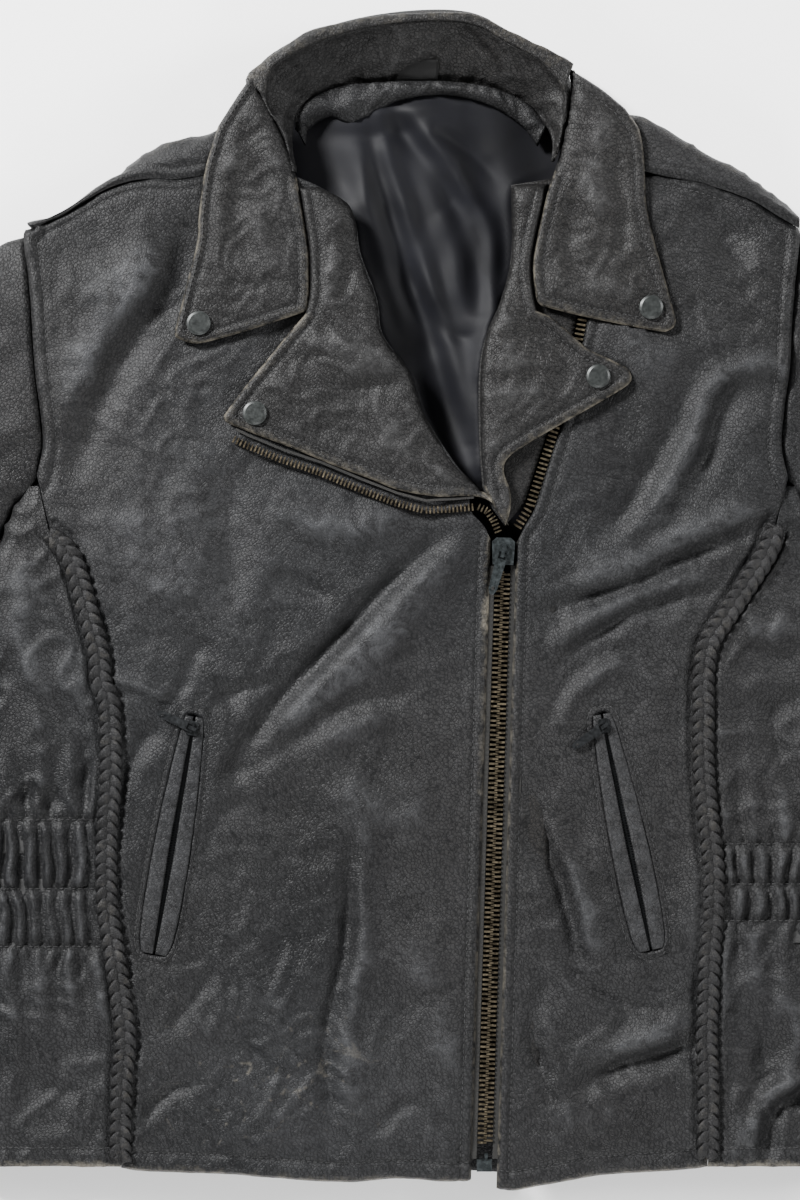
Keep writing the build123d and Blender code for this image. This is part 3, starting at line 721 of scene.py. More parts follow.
# ------------------------------------------------------------------ fronts
def seam_rim(d, wide=5.5, high=0.55):
    """Turned edge: raised rim, then the dip of the stitch line."""
    return high * ease(d, 0, 1.2) * (1 - ease(d, wide - 1.6, wide
                                              + 0.2)) - 0.8 * np.exp(-((d - wide - 0.7) / 0.8) ** 2)


def front_panel(name, loop, node, side):
    """Front leather of one side, with its seams, pocket mouth and folds."""
    slot = resample(pocket_line(side), 2.5)[:-1]
    hem, arm, yoke = (HEM_R, ARM_R, YOKE_R) if side < 0 else (HEM_L, ARM_L, YOKE_L)
    rows = [[(float(chain_x(38, side * a)), 38), (float(chain_x(-358, side * a)), -358)]
            for a in (15.2, 14.0, 16.4, 10.2, 18)]
    rows += [offset(hem, -a) for a in (12.2, 11.0, 13.4, 2)] + [offset(arm, -side * a)
        for a in (8.5, 7.2, 9.8, 3.5)]
    rows += [offset(yoke, side * a) for a in (6, 4.9, 7.1)] + [pocket_line(side, a) for a in (4.3, 3.2, 5.4)]
    if side > 0:
        rows += [offset(OPEN_ROW, -a) for a in (11.7, 10.5, 12.9, 7)]
    pts, faces = fill(loop, 2.4, [slot], rows)
    x, y = pts[:, 0], pts[:, 1]
    z = front_height(x, y)
    d_zip = near(CHAIN_LINE, x, y)[0] - 8
    d_hem = near(smooth(HEM_R if side < 0 else HEM_L), x, y)[0]
    d_arm = near(smooth(ARM_R if side < 0 else ARM_L), x, y)[0]
    d_yoke = near(smooth(YOKE_R if side < 0 else YOKE_L), x, y)[0]
    u, v = slot_frame(side, x, y)
    d_slot = np.hypot(np.maximum(np.abs(u) - pocket_half(v), 0), np.maximum(np.abs(v) - 76, 0))
    z = z + seam_rim(d_zip, 6.5, 0.9) + round_over(d_zip, 1.6)
    z = z + seam_rim(d_hem, 11.5, 0.6) + round_over(d_hem, 2.2) - 1.2 * (1 - ease(d_hem, 2, 30))
    z = (z + 0.9 * np.exp(-((d_arm - 3.5) / 2.6) ** 2) - 0.9 * np.exp(-((d_arm - 8.5) / 0.9) ** 2)
         + round_over(d_arm, 1.5))
    z = z - 0.9 * np.exp(-(d_yoke / 2.0) ** 2) - 0.7 * np.exp(-((d_yoke - 6) / 0.8) ** 2)
    z = (z + 0.8 * np.exp(-((d_slot - 2.2) / 1.8) ** 2) + 0.5 * round_over(d_slot, 1.2)
         - 0.8 * np.exp(-((d_slot - 4.3) / 0.8) ** 2))
    d_braid = near(smooth(BRAID_R if side < 0 else BRAID_L), x, y)[0]
    z = z + 0.7 * np.exp(-((d_braid - 11) / 2.2) ** 2) - 1.2 * np.exp(-((d_braid - 8.3) / 1.1) ** 2)
    pucker = noise(x, y, 7, 9) * 0.5
    z = (z + pucker * (np.exp(-((d_hem - 12) / 8) ** 2) + 0.6 * np.exp(-((d_arm - 8) / 8) ** 2)
                       + 0.5 * np.exp(-((d_slot - 6) / 6) ** 2)))
    if side > 0:
        d_row = near(smooth(OPEN_ROW), x, y)[0] - 5
        z = z + np.where(y > 40, seam_rim(d_row, 6.0, 0.7) + round_over(d_row, 1.5), 0)
    obj = mesh_object(name, np.c_[x, y, z], faces)
    wear = 0.30 * np.exp(-d_zip / 1.5)
    if side < 0:
        wear = np.maximum(wear, np.exp(-(d_zip / 2.4) ** 2)
                          * np.maximum(ease(y, -24, -14) * (1 - ease(y, 2, 10)), 0.45 * (y > -120)))
    wear = np.maximum(wear, 0.55 * np.exp(-d_hem / 1.8))
    wear = np.maximum(wear, 0.28 * ease(ridged(x, y, 22, 1), 0.72, 1.0) * blob(x, y, -95, -300, 90, 60))
    # Painted highlight: lighter on raised fold crests, with two broad painted pools of light, on the right
    # chest and low on the right front.
    crest = (ease(z - TOP, 1.0, 5.0) * 0.8 + 0.35 * blob(x, y, -120, 60, 110, 120)
             + 0.3 * blob(x, y, -70, -300, 90, 50))
    # Painted shade: darker along the seam and stitch grooves.
    lines = [(d_zip, 7.2), (d_hem, 12.2), (d_arm, 8.5), (d_yoke, 6.0), (d_slot, 4.3), (d_yoke, 0.0),
             (d_braid, 8.3)]
    if side > 0:
        lines.append((np.where(y > 40, d_row, 99), 6.7))
    groove = np.max([np.exp(-((d - at) / 0.9) ** 2) for d, at in lines], axis=0)
    finish_panel(obj, 1.4, wear, np.clip(crest, 0, 1), groove * 0.8)
    return dress(obj, LEATHER, nodes=[node])


right_loop = np.vstack([
    smooth(FOLD_R[:-1] + [(33, 80)], 2.5), resample([(34, 77), (37, 57), (45, 49),
        (float(chain_x(40, -8)), 40)], 2.5),
    resample([(float(chain_x(38, -8)), 38), (float(chain_x(-360, -8)), -360)], 2.5), smooth(HEM_R, 2.5)[1:],
    smooth(BRAID_R[::-1], 2.5), smooth(ARM_R[::-1][1:], 2.5)[1:], smooth(YOKE_R, 2.5)[1:],
    [(-110, 272), (-88, 274)]])
front_panel("right_front_leather", right_loop, "right_front_panel", -1)
left_edge = [(70, 48)] + [(p[0] + 5.2, p[1] - 1.2) for p in OPEN_ROW[1:]]
left_loop = np.vstack([
    resample([(float(chain_x(-365, 8)), -365), (float(chain_x(38, 8)), 38)], 2.5),
    smooth(left_edge, 2.5)[1:], [(118, 262), (136, 266)],
    smooth(YOKE_L[::-1], 2.5), smooth(ARM_L[1:-1], 2.5), smooth(BRAID_L, 2.5), smooth(HEM_L, 2.5)[:-1]])
front_panel("left_front_leather", left_loop, "left_front_panel", 1)

under_loop = np.vstack([smooth(FOLD_L, 2.5), resample([(50, 60), (58, 49)], 2.5),
                        smooth([(p[0] - 1.8, p[1] + 0.4) for p in OPEN_ROW[1:]] + [(106, 240), (100, 268)],
                               2.5)])
pts, faces = fill(under_loop, 3.0)
x, y = pts[:, 0], pts[:, 1]
z = TOP - 1.2 + layered(x, y, 30, 3, 2) * 0.5 - 2.0 * np.exp(-near(smooth(OPEN_ROW, 6), x, y)[0] / 7)
under = mesh_object("left_underlap_leather", np.c_[x, y, z], faces)
finish_panel(under, 1.3, np.zeros(len(x)), np.zeros(len(x)))
dress(under, INNER_LEATHER, nodes=["left_underlap"])


# ------------------------------------------------------------------ sides with elastic gathers
def side_leather(side):
    """Side of the body: top, rounded side fold and underside, gathered at the waist."""
    braid = smooth(BRAID_R if side < 0 else BRAID_L, 2.0)
    contour = smooth([(side * a, b) for a, b in SIDE], 2.0)
    foot = -352.0
    ys = np.r_[np.linspace(74, 44, 13)[:-1], np.arange(44, foot, -2.3), [foot]]
    cols = 92
    grid = np.zeros((len(ys), cols, 3))
    for i, y in enumerate(ys):
        bx = np.interp(-y, -braid[:, 1], np.abs(braid[:, 0])) if y < braid[0, 1] else np.interp(y, [44, 74],
            [226.5, 233.6])
        sx = np.interp(-y, -contour[:, 1], np.abs(contour[:, 0])) if y < 64 else np.interp(y, [64, 74],
            [249, 245])
        crown = TOP - max(0, y - 56) * 0.2
        r = min(14.6, (sx - bx) * 0.48)
        mid = (crown + 0.2) / 2
        turn = np.linspace(math.pi / 2, -math.pi / 2, 24)
        top = np.stack([np.linspace(bx, sx - r, 44, endpoint=False), np.full(44, crown)], 1)
        arc = np.stack([sx - r + r * np.cos(turn), mid + (mid - 0.2) * np.sin(turn)], 1)
        low = np.stack([np.linspace(sx - r, min(190, bx - 1), 25)[1:], np.full(24, 0.2)], 1)
        line = np.vstack([top, arc, low])
        grid[i, :, 0] = side * line[:, 0]
        grid[i, :, 1] = y
        grid[i, :, 2] = line[:, 1]
    x, y, z = grid[..., 0], grid[..., 1], grid[..., 2]
    rows = [-135, -178, -214] if side < 0 else [-150, -175, -198]
    a, b = rows[0] + 16, rows[-1] - 16
    band = ease(y, b, b + 20) * (1 - ease(y, a - 20, a))
    along = np.abs(x) + (TOP - z)
    step = sum((y < row).astype(float) for row in rows)
    pleat = np.sin(2 * math.pi * (along + 3.6 * noise(x, y, 22, 3) + 3.7 * step) / 10.5
                   + 2.2 * noise(y, x + 60 * step, 34, 5))
    pleat = np.abs(pleat) ** 0.8 * np.sign(pleat)
    pinch = sum(np.exp(-((y - row) / 3.2) ** 2) for row in rows)
    out = ease(z, 0.5, 14)
    lift = band * (2.4 * pleat * (1 - 0.6 * pinch) * (1 + 0.5 * noise(x, y, 30, 8)) + 0.6 - 1.7 * pinch)
    fan = np.exp(-np.maximum(np.maximum(b - y, y - a), 0) / 26) * (1 - band)
    lift += fan * 2.6 * np.sin(2 * math.pi * (along + 3 * noise(x, y, 30, 6)) / 19)
    lift += (1 - band * 0.7) * (layered(x, y, 70, 4, 2) * 2.0 + ridged(x, y, 26, 2) * 2.4 - 0.8)
    lift += folds(_side_lines, x, y) * (1 - 0.6 * band)
    edge = ease(np.abs(x) - np.abs(np.interp(y, braid[::-1, 1], braid[::-1, 0])), 2, 16)
    lift = lift * out * edge
    d_braid = np.abs(x) - np.abs(np.interp(y, braid[::-1, 1], braid[::-1, 0]))
    lift += (out * (1.0 * np.exp(-((d_braid - 10.5) / 1.8) ** 2)
                    - 1.2 * np.exp(-((d_braid - 8.2) / 1.0) ** 2)) * ease(y, 52, 40))
    d_hem = y - foot
    lift += out * (seam_rim(d_hem, 11.5, 0.6) + round_over(d_hem, 2.0))
    grid, n = push(grid, lift)
    if (n[len(ys) // 2, 5, 2]) < 0:
        grid = grid - 2 * n * lift[..., None]
    grid[..., 2] = np.maximum(grid[..., 2], 0.15)
    faces = faces_up(grid, grid_faces(len(ys), cols))
    obj = mesh_object(("right" if side < 0 else "left") + "_side_leather", grid.reshape(-1, 3), faces)
    # Painted highlight on raised fold crests.
    crest = np.clip(ease(lift, 1.0, 3.4) * 0.8, 0, 1)
    # Painted shade in the pinch lines of the gathers and in the stitch dip beside the braid.
    groove = np.maximum(band * pinch * out, np.exp(-((d_braid - 8.2) / 1.0) ** 2) * out)
    wear = 0.8 * np.exp(-d_hem / 2.2) * out
    finish_panel(obj, 1.3, wear.ravel(), crest.ravel(), np.clip(groove * 0.7, 0, 1).ravel())
    return dress(obj, LEATHER, nodes=[("right" if side < 0 else "left") + "_side_panel"])


_side_lines = [(smooth(p, 6), w, h) for p, w, h in [
    ([(-220, -54), (-204, -98), (-219, -120), (-239, -130)], 7, -3.4),
    ([(-239, 28), (-245, -22), (-229, -60)], 8, 3.0),
    ([(-252, -10), (-256, -60), (-246, -110)], 9, -3.0), ([(-212, -30), (-208, -80), (-222, -118)], 7, 3.0),
    ([(-258, -285), (-232, -304), (-201, -301)], 7, -3.0),
    ([(-230, -240), (-215, -270), (-222, -300)], 7, -3.2),
    ([(-252, -250), (-246, -285), (-256, -320)], 7, 3.0), ([(242, -54), (227, -72), (236, -116)], 6, -3.6),
    ([(202, -248), (221, -272), (211, -304)], 6, -4.2), ([(242, -254), (227, -291), (211, -322)], 7, -5.0),
    ([(246, -240), (236, -284), (224, -318)], 7, 4.5), ([(206, -22), (224, -32), (242, -35)], 6, -3.4),
    ([(210, -10), (230, -16), (250, -18)], 8, 3.0), ([(262, -250), (250, -300), (236, -336)], 8, -4.0),
    ([(268, -294), (242, -297), (224, -304), (215, -320), (213, -348)], 5, 7.0),
    ([(268, -305), (243, -308), (230, -316), (225, -332), (224, -350)], 5, -6.0),
    ([(204, -300), (206, -330), (200, -345)], 6, 2.0), ([(252, -60), (246, -90), (254, -120)], 7, 3.0)]]
for _side in (-1, 1):
    side_leather(_side)


# ------------------------------------------------------------------ back, yoke and sleeves
def lie_flat(name, loop, node, z=0.7, step=5.0, mat=LEATHER, wrinkle=1.0, thick=1.3):
    """A piece that lies on the table or inside, with slight waves."""
    pts, faces = fill(loop, step)
    x, y = pts[:, 0], pts[:, 1]
    lift = np.clip(layered(x, y, 80, 5, 2) * 1.2 + ridged(x, y, 30, 3) * 0.9, 0, 4) * wrinkle
    obj = mesh_object(name, np.c_[x, y, z + thick + lift], faces)
    # Painted highlight on the raised waves.
    finish_panel(obj, thick, np.zeros(len(x)), ease(lift, 1, 3))
    return dress(obj, mat, nodes=[node] if node else [])


back_loop = np.vstack([
    resample([(-189.7, -352), (20, -358), (60, -361), (189.7, -352), (189.7, -18)], 4),
    smooth([(194.4, -9), (208.4, 12), (221.4, 33), (226.3, 49)], 4),
    smooth([(230, 78), (229, 103), (234.2, 138)], 4), resample([(234, 138), (-234, 138)], 4)[1:],
    smooth([(-229, 103), (-230, 78), (-224, 43)], 4),
    smooth([(-213, 30), (-207.5, 15), (-201.5, -7), (-195, -23), (-189.7, -30)], 4)])
lie_flat("back_leather", back_loop, "back_panel", 0.1)
back_yoke_loop = np.vstack([smooth(SHOULDER_R, 4),
                            smooth([(-96, 309), (-86, 322), (-60, 334), (0, 336), (50, 334), (78, 322),
                                    (100, 309)], 4),
                            smooth(SHOULDER_L[::-1], 4), smooth([(239.5, 205), (237.5, 182), (235.5, 148),
                                (234.3, 138.3)], 4),
                            resample([(234, 138.3), (-234.3, 138.3)], 4)[1:],
                            smooth([(-235.5, 148), (-237.5, 182), (-239.5, 205)], 4)])
back_yoke = lie_flat("back_yoke_leather", back_yoke_loop, None, 0.1)
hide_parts("shoulder_yoke")


def shoulder(side):
    """Front strip of the yoke, rolled over the shoulder to the back."""
    seam = YOKE_R + [(-104, 273), (-84, 276)] if side < 0 else YOKE_L + [(124, 276), (99, 281)]
    edge = SHOULDER_R + [(-104, 306), (-97, 316)] if side < 0 else SHOULDER_L + [(112, 322), (103, 329)]
    n = 72
    a = smooth(seam, 1.0)
    b = smooth(edge, 1.0)
    a = a[np.linspace(0, len(a) - 1, n).round().astype(int)]
    b = b[np.linspace(0, len(b) - 1, n).round().astype(int)]
    rows = []
    for i in range(n):
        d = b[i] - a[i]
        wide = max(np.linalg.norm(d), 1e-6)
        d = d / wide
        r = min(13.0, wide * 0.8)
        t = np.linspace(math.pi / 2, -math.pi / 2, 18)
        flat = np.linspace(0, wide - r, 14, endpoint=False)
        line = [(a[i][0] + d[0] * s, a[i][1] + d[1] * s, TOP + 0.2) for s in flat]
        line += [(b[i][0] - d[0] * (r - r * math.cos(q)), b[i][1] - d[1] * (r - r * math.cos(q)), 15.4
                  + 15.2 * math.sin(q)) for q in t]
        rows.append(line)
    grid = np.array(rows)
    x, y = grid[..., 0], grid[..., 1]
    d_seam = near(np.array(a), x, y)[0]
    lift = layered(x, y, 40, 7, 2) * 1.2 + ridged(x, y * 1.6, 22, 2) * 1.3
    lift += folds([(smooth(p, 6), w, h) for p, w, h in [([(-226, 240), (-190, 268), (-150, 280)], 5, -1.8),
                                                       ([(-214, 240), (-170, 272), (-128, 282)], 5, 1.6),
                                                       ([(206, 262), (170, 282), (140, 292)], 6, -2.2),
                                                       ([(220, 246), (180, 270), (150, 280)], 6, 1.8)]], x, y)
    lift = (lift * ease(d_seam, 1, 12) - 0.9 * np.exp(-(d_seam / 2) ** 2)
            + 0.9 * np.exp(-((d_seam - 4) / 2.5) ** 2) - 0.5 * np.exp(-((d_seam - 7.5) / 1) ** 2))
    over = under_leaves(x, y) * ease(grid[..., 2], 20, 28)
    lift = np.where(over > 0, np.minimum(lift, 0.2) - 0.4 * over, lift)
    grid, nrm = push(grid, lift * 0)
    up = np.sign(nrm[n // 2, 3, 2])
    grid = grid + nrm * (up * lift)[..., None]
    grid[..., 2] = np.maximum(grid[..., 2], 0.3)
    faces = faces_up(grid, grid_faces(n, grid.shape[1]))
    obj = mesh_object(("right" if side < 0 else "left") + "_yoke_leather", grid.reshape(-1, 3), faces)
    wear = 0.12 * np.exp(-((grid[..., 2] - 24) / 5) ** 2)
    # Painted highlight on raised fold crests.
    finish_panel(obj, 1.3, wear.ravel(), np.clip(ease(lift, 0.8, 3), 0, 1).ravel())
    return dress(obj, LEATHER, nodes=["shoulder_yoke"])


for _side in (-1, 1):
    shoulder(_side)


def sleeve_leather(side):
    """One sleeve: a flattened tube from the armhole to the cuff, creased at the elbow."""
    outer = resample(smooth([(244, 236), (262, 228), (285, 208), (322, 180), (400, 71), (520, -100),
                             (636, -266)], 2), 4)
    inner = resample(smooth([(251, 64), (270, 20), (293, -42), (380, -151), (460, -251), (530, -339)], 2), 4)
    arm = smooth([(abs(a), b) for a, b in ARM_R[1:]], 1.5)
    n = 150
    outer = outer[np.linspace(0, len(outer) - 1, n).round().astype(int)]
    inner = inner[np.linspace(0, len(inner) - 1, n).round().astype(int)]
    m = 46
    q = np.linspace(0, math.pi, m)
    v = (1 - np.cos(q)) / 2
    rows = []
    for i in range(n):
        t = i / (n - 1)
        across = np.outer(1 - v, outer[i]) + np.outer(v, inner[i])
        at = arm[np.clip((v * (len(arm) - 1)).round().astype(int), 0, len(arm) - 1)] + (0.8, 0)
        flat = np.outer(1 - v, outer[0]) + np.outer(v, inner[0])
        across = across + (at - flat) * max(0, 1 - t * 9) ** 2
        bulge = (1 - np.abs(2 * v - 1) ** 3.0) ** (1 / 3.0)
        mid = SLEEVE_TOP / 2
        up = np.c_[across, mid + (mid - 0.1) * bulge]
        down = np.c_[across, mid - (mid - 0.2) * bulge][1:-1][::-1]
        rows.append(np.vstack([up, down]))
    grid = np.array(rows)
    s = np.arange(n)[:, None] * 3.7 * np.ones((1, grid.shape[1]))
    x, y = grid[..., 0], grid[..., 1]
    shift = 3 if side < 0 else 7
    lift = (layered(x, y, 85, shift, 2) * 2.6 + layered(x, y, 34, shift + 2, 2) * 1.3
            + ridged(x, y, 38, shift + 1) * 2.4 - 0.9)
    pick = np.random.default_rng(20 + side)
    creases = []
    for k in range(26):
        at = pick.normal(66, 24) if k < 18 else pick.uniform(8, 135)
        slope, reach = pick.uniform(-16, 14), pick.uniform(0.35, 0.95)
        steps = np.linspace(0, reach, 5)
        begin = pick.choice([0.02, 0.02, 0.3])
        rows_at = np.clip(at + slope * steps ** 1.4 + pick.normal(0, 1, 5), 3, n - 6).astype(int)
        side_at = np.clip(begin + steps, 0, 0.97)[:, None]
        line = inner[rows_at] * (1 - side_at) + outer[rows_at] * side_at
        creases.append((smooth(line, 6), pick.uniform(4.5, 9), pick.choice([-1, 1]) * pick.uniform(1.6, 3.4)))
    lift += folds(creases, x, y)
    top = ease(grid[..., 2], 3, 14)
    end = ease(s, 0, 14)
    cuff = s[:, :1].max() - s
    lift = lift * top * (0.15 + 0.85 * end) * (0.35 + 0.65 * ease(cuff, 8, 40))
    lift += top * (seam_rim(cuff, 22, 0.7) + round_over(cuff, 2))
    nrm = np.cross(np.gradient(grid, axis=0), np.roll(grid, -1, axis=1) - np.roll(grid, 1, axis=1))
    nrm /= np.maximum(np.linalg.norm(nrm, axis=2, keepdims=True), 1e-9)
    up = np.sign(nrm[n // 2, m // 2, 2])
    grid = grid + nrm * (up * lift)[..., None]
    grid[..., 2] = np.maximum(grid[..., 2], 0.15)
    grid[..., 0] *= side
    faces = faces_up(grid, grid_faces(n, grid.shape[1], True))
    name = "right" if side < 0 else "left"
    obj = mesh_object(name + "_sleeve_leather", grid.reshape(-1, 3), faces)
    # Tan wear at the cuff edge; painted highlight on raised creases.
    finish_panel(obj, 1.3, (0.7 * np.exp(-cuff / 2.5)).ravel(), np.clip(ease(lift, 1.2, 4.5), 0, 1).ravel())
    return dress(obj, LEATHER, nodes=[name + "_sleeve_top", name + "_sleeve_under"])


for _side in (-1, 1):
    sleeve_leather(_side)


# ------------------------------------------------------------------ collar
low = smooth([p[0] for p in STAND], 1.5)
high = smooth([p[1] for p in STAND], 1.5)
n = 150
low = low[np.linspace(0, len(low) - 1, n).round().astype(int)]
high = high[np.linspace(0, len(high) - 1, n).round().astype(int)]
v = np.linspace(0, 1, 22)
grid = low[:, None] * (1 - v[None, :, None]) + high[:, None] * v[None, :, None]
belly = np.sin(v * math.pi)[None, :] * np.ones((n, 1))
grid[..., 2] += 3.0 * belly
top_roll = ease(v, 0.82, 1.0)[None, :] * np.ones((n, 1))
grid[..., 2] += 2.6 * top_roll * (np.hypot(*(high - low)[:, :2].T) > 12)[:, None]
x, y = grid[..., 0], grid[..., 1]
lift = ridged(x, y, 15, 6) * 1.5 + layered(x, y, 26, 4, 2) * 1.3 - 0.6
lift += folds([(smooth(p, 4), w, h) for p, w,
               h in [([(-51, 334), (-42, 346), (-39, 358)], 4, -1.8),
                     ([(24, 343), (36, 349), (55, 340)], 4, -1.8),
                                                   ([(-30, 336), (-20, 345), (-22, 360)], 4, 1.4),
                                                   ([(-70, 322), (-62, 336), (-66, 350)], 4, -1.6)]], x, y)
edge = np.minimum(v, 1 - v)[None, :] * 40
lift = lift * ease(edge, 0, 5) - 0.7 * np.exp(-((v[None, :] * 40 - 3.5) / 1.0) ** 2)
grid, nrm = push(grid, lift * 0)
up = np.sign(nrm[n // 2, 10, 2])
grid = grid + nrm * (up * lift)[..., None]
out = (high - low)[:, :2]
out /= np.linalg.norm(out, axis=1, keepdims=True)
brim = [np.c_[grid[:, -1, :2] + out * s, grid[:, -1, 2] - s * 0.85] for s in (2.0, 4.5, 8.0)]
grid = np.concatenate([grid, np.stack(brim, 1)], axis=1)
lift = np.pad(lift, ((0, 0), (0, 3)))
stand = mesh_object("collar_stand_leather", grid.reshape(-1, 3), faces_up(grid, grid_faces(n, 25)))
# Painted highlight on raised wrinkles of the stand.
finish_panel(stand, 1.3, np.zeros(lift.size), np.clip(ease(lift, 0.6, 2.4), 0, 1).ravel())
dress(stand, EDGE_LEATHER, nodes=["collar_stand"])

roll = smooth([p[1] for p in STAND[2:10]], 1.5)
foot = smooth([(a, b, 2.0) for a, b in BACK_ROLL], 1.5)
n = 110
roll = roll[np.linspace(0, len(roll) - 1, n).round().astype(int)]
foot = foot[np.linspace(0, len(foot) - 1, n).round().astype(int)]
rows = []
for i in range(n):
    out = foot[i][:2] - roll[i][:2]
    gap = np.linalg.norm(out)
    out = out / max(gap, 1e-6)
    line = [roll[i] + np.array([0, 0, 1.8])]
    for q in np.linspace(0.1, 1, 8):
        a = q * math.pi / 2
        line.append(np.array([*(roll[i][:2] + out * gap * math.sin(a)), 31.5 + 1.6 * math.cos(a)]))
    for q in np.linspace(0, 1, 12)[1:]:
        line.append(np.array([*(foot[i][:2] + out * 1.6 * math.sin(q * math.pi)), 31.5 - q * 29.7]))
    rows.append(line)
grid = np.array(rows)
x, y, z = grid[..., 0], grid[..., 1], grid[..., 2]
lift = layered(x, y + z, 26, 6, 2) * 0.8 + ridged(x, z, 18, 2) * 0.7
lift = lift * ease(np.arange(20)[None, :] * np.ones((n, 1)), 0, 5)
grid, nrm = push(grid, lift * 0)
up = np.sign(nrm[n // 2, 12, 1])
grid = grid + nrm * (up * lift)[..., None]
faces = grid_faces(n, 20)
leaf = mesh_object("collar_back_leaf_leather", grid.reshape(-1, 3), faces[:, ::-1] if up < 0 else faces)
# Painted highlight on raised wrinkles of the leaf.
finish_panel(leaf, 1.3, 0.2 * np.exp(-((z - 31) / 2.5) ** 2).ravel(),
             np.clip(ease(lift, 0.5, 2), 0, 1).ravel())
dress(leaf, EDGE_LEATHER, nodes=["collar_back_leaf"])


def leaf_piece(name, runs, rolled, node, rim_wear_and_highlight_runs, seed, turn=1):
    """Collar wing or lapel: doubled leather with a turned, stitched edge and a rolled fold."""
    loop = loop_of(runs, 2.0)
    rim_rows = [offset(runs[k], turn * a) for k in range(len(runs)) if k not in rolled
                for a in (6.3, 5.2, 7.4, 1.6)]
    pts, faces = fill(loop, 2.0, (), rim_rows)
    x, y = pts[:, 0], pts[:, 1]
    fold = np.vstack([smooth(runs[k]) for k in rolled])
    free = [smooth(runs[k]) for k in range(len(runs)) if k not in rolled]
    d_fold = near(fold, x, y)[0]
    d_free = np.min([near(f, x, y)[0] for f in free], axis=0)
    z = (folds(_leaf_lines, x, y) * 1.4 + layered(x, y, 34, seed, 2) * 1.5
         + ridged(x, y, 15, seed + 2) * 1.3 - 0.4)
    calm_rim = ease(d_free, 3, 13)
    for sx, sy in SNAPS:
        calm_rim = calm_rim * ease(np.hypot(x - sx, y - sy), 8, 18)
    z = z * (0.12 + 0.88 * calm_rim) + 0.9 * ease(d_fold, 2, 10) * (1 - ease(d_fold, 14, 40))
    rim = (seam_rim(d_free, 5.6, 0.7) + round_over(d_free, 1.5)
           + noise(x, y, 6, 3) * 0.25 * np.exp(-((d_free - 7) / 5) ** 2))
    rim *= ease(d_fold, 0, 5)
    snap = np.ones(len(x))
    for sx, sy in SNAPS:
        snap = snap * ease(np.hypot(x - sx, y - sy), 7.4, 9.5)
    z = z + rim * snap + round_over(d_fold, 6.0) * 1.0
    z = np.where(snap < 1, np.minimum(z, 0.15 * snap), z)
    obj = mesh_object(name, np.c_[x, y, LEAF + z], faces)
    # Tan along the listed rims: edge wear that also stands for a painted highlight on the rolled rims.
    wear = np.zeros(len(x))
    for k, how in rim_wear_and_highlight_runs.items():
        d = near(smooth(runs[k]), x, y)[0]
        wear = np.maximum(wear, 0.85 * how * np.exp(-(d / 1.3) ** 2))
        wear = np.maximum(wear, 0.16 * how * np.exp(-((d - 3.4) / 2.6) ** 2))
    # Painted highlight on raised parts of the leaf.
    crest = ease(z, 0.7, 2.4) * 0.6
    # Painted shade in the stitch groove along the free edges.
    groove = np.exp(-((d_free - 6.3) / 0.9) ** 2) * ease(d_fold, 0, 5) * snap
    finish_panel(obj, 2.7, wear, np.clip(crest, 0, 1), groove * 0.8)
    dress(obj, EDGE_LEATHER, None, [node])
    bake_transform(obj)
    return obj


# Each wing and lapel gets tan along some of its runs: edge wear that also stands for a painted highlight on
# the rolled rims.
leaf_piece("right_collar_leather", WING_R, [0], "right_collar_wing",
           {2: 0.6, 3: 0.75, 4: 0.8, 1: 0.15}, 1)
leaf_piece("left_collar_leather", WING_L, [0], "left_collar_wing",
           {1: 0.6, 2: 0.85, 3: 0.5, 4: 0.15}, 4)
leaf_piece("right_lapel_leather", LAPEL_R, [0], "right_lapel",
           {2: 1.0, 3: 0.75, 1: 0.9}, 6, -1)
leaf_piece("left_lapel_leather", LAPEL_L, [0, 1], "left_lapel",
           {3: 0.95, 4: 0.6, 2: 0.5}, 8)


# ------------------------------------------------------------------ braids and pocket welts
def tube(path, across, up, wide, thick, sides=10):
    """Flat strap along a 3-D path; across and up are unit directions at each point."""
    ring = np.linspace(0, 2 * math.pi, sides, endpoint=False)
    shape = np.stack([np.sign(np.cos(ring)) * np.abs(np.cos(ring)) ** 0.7 * wide / 2,
                      np.sign(np.sin(ring)) * np.abs(np.sin(ring)) ** 0.8 * thick / 2], 1)
    pts = path[:, None] + across[:, None] * shape[None, :, :1] + up[:, None] * shape[None, :, 1:]
    faces = grid_faces(len(path), sides, True)
    verts = pts.reshape(-1, 3)
    ends = [list(range(sides))[::-1], [len(verts) - sides + k for k in range(sides)]]
    return verts, [list(f) for f in faces] + ends


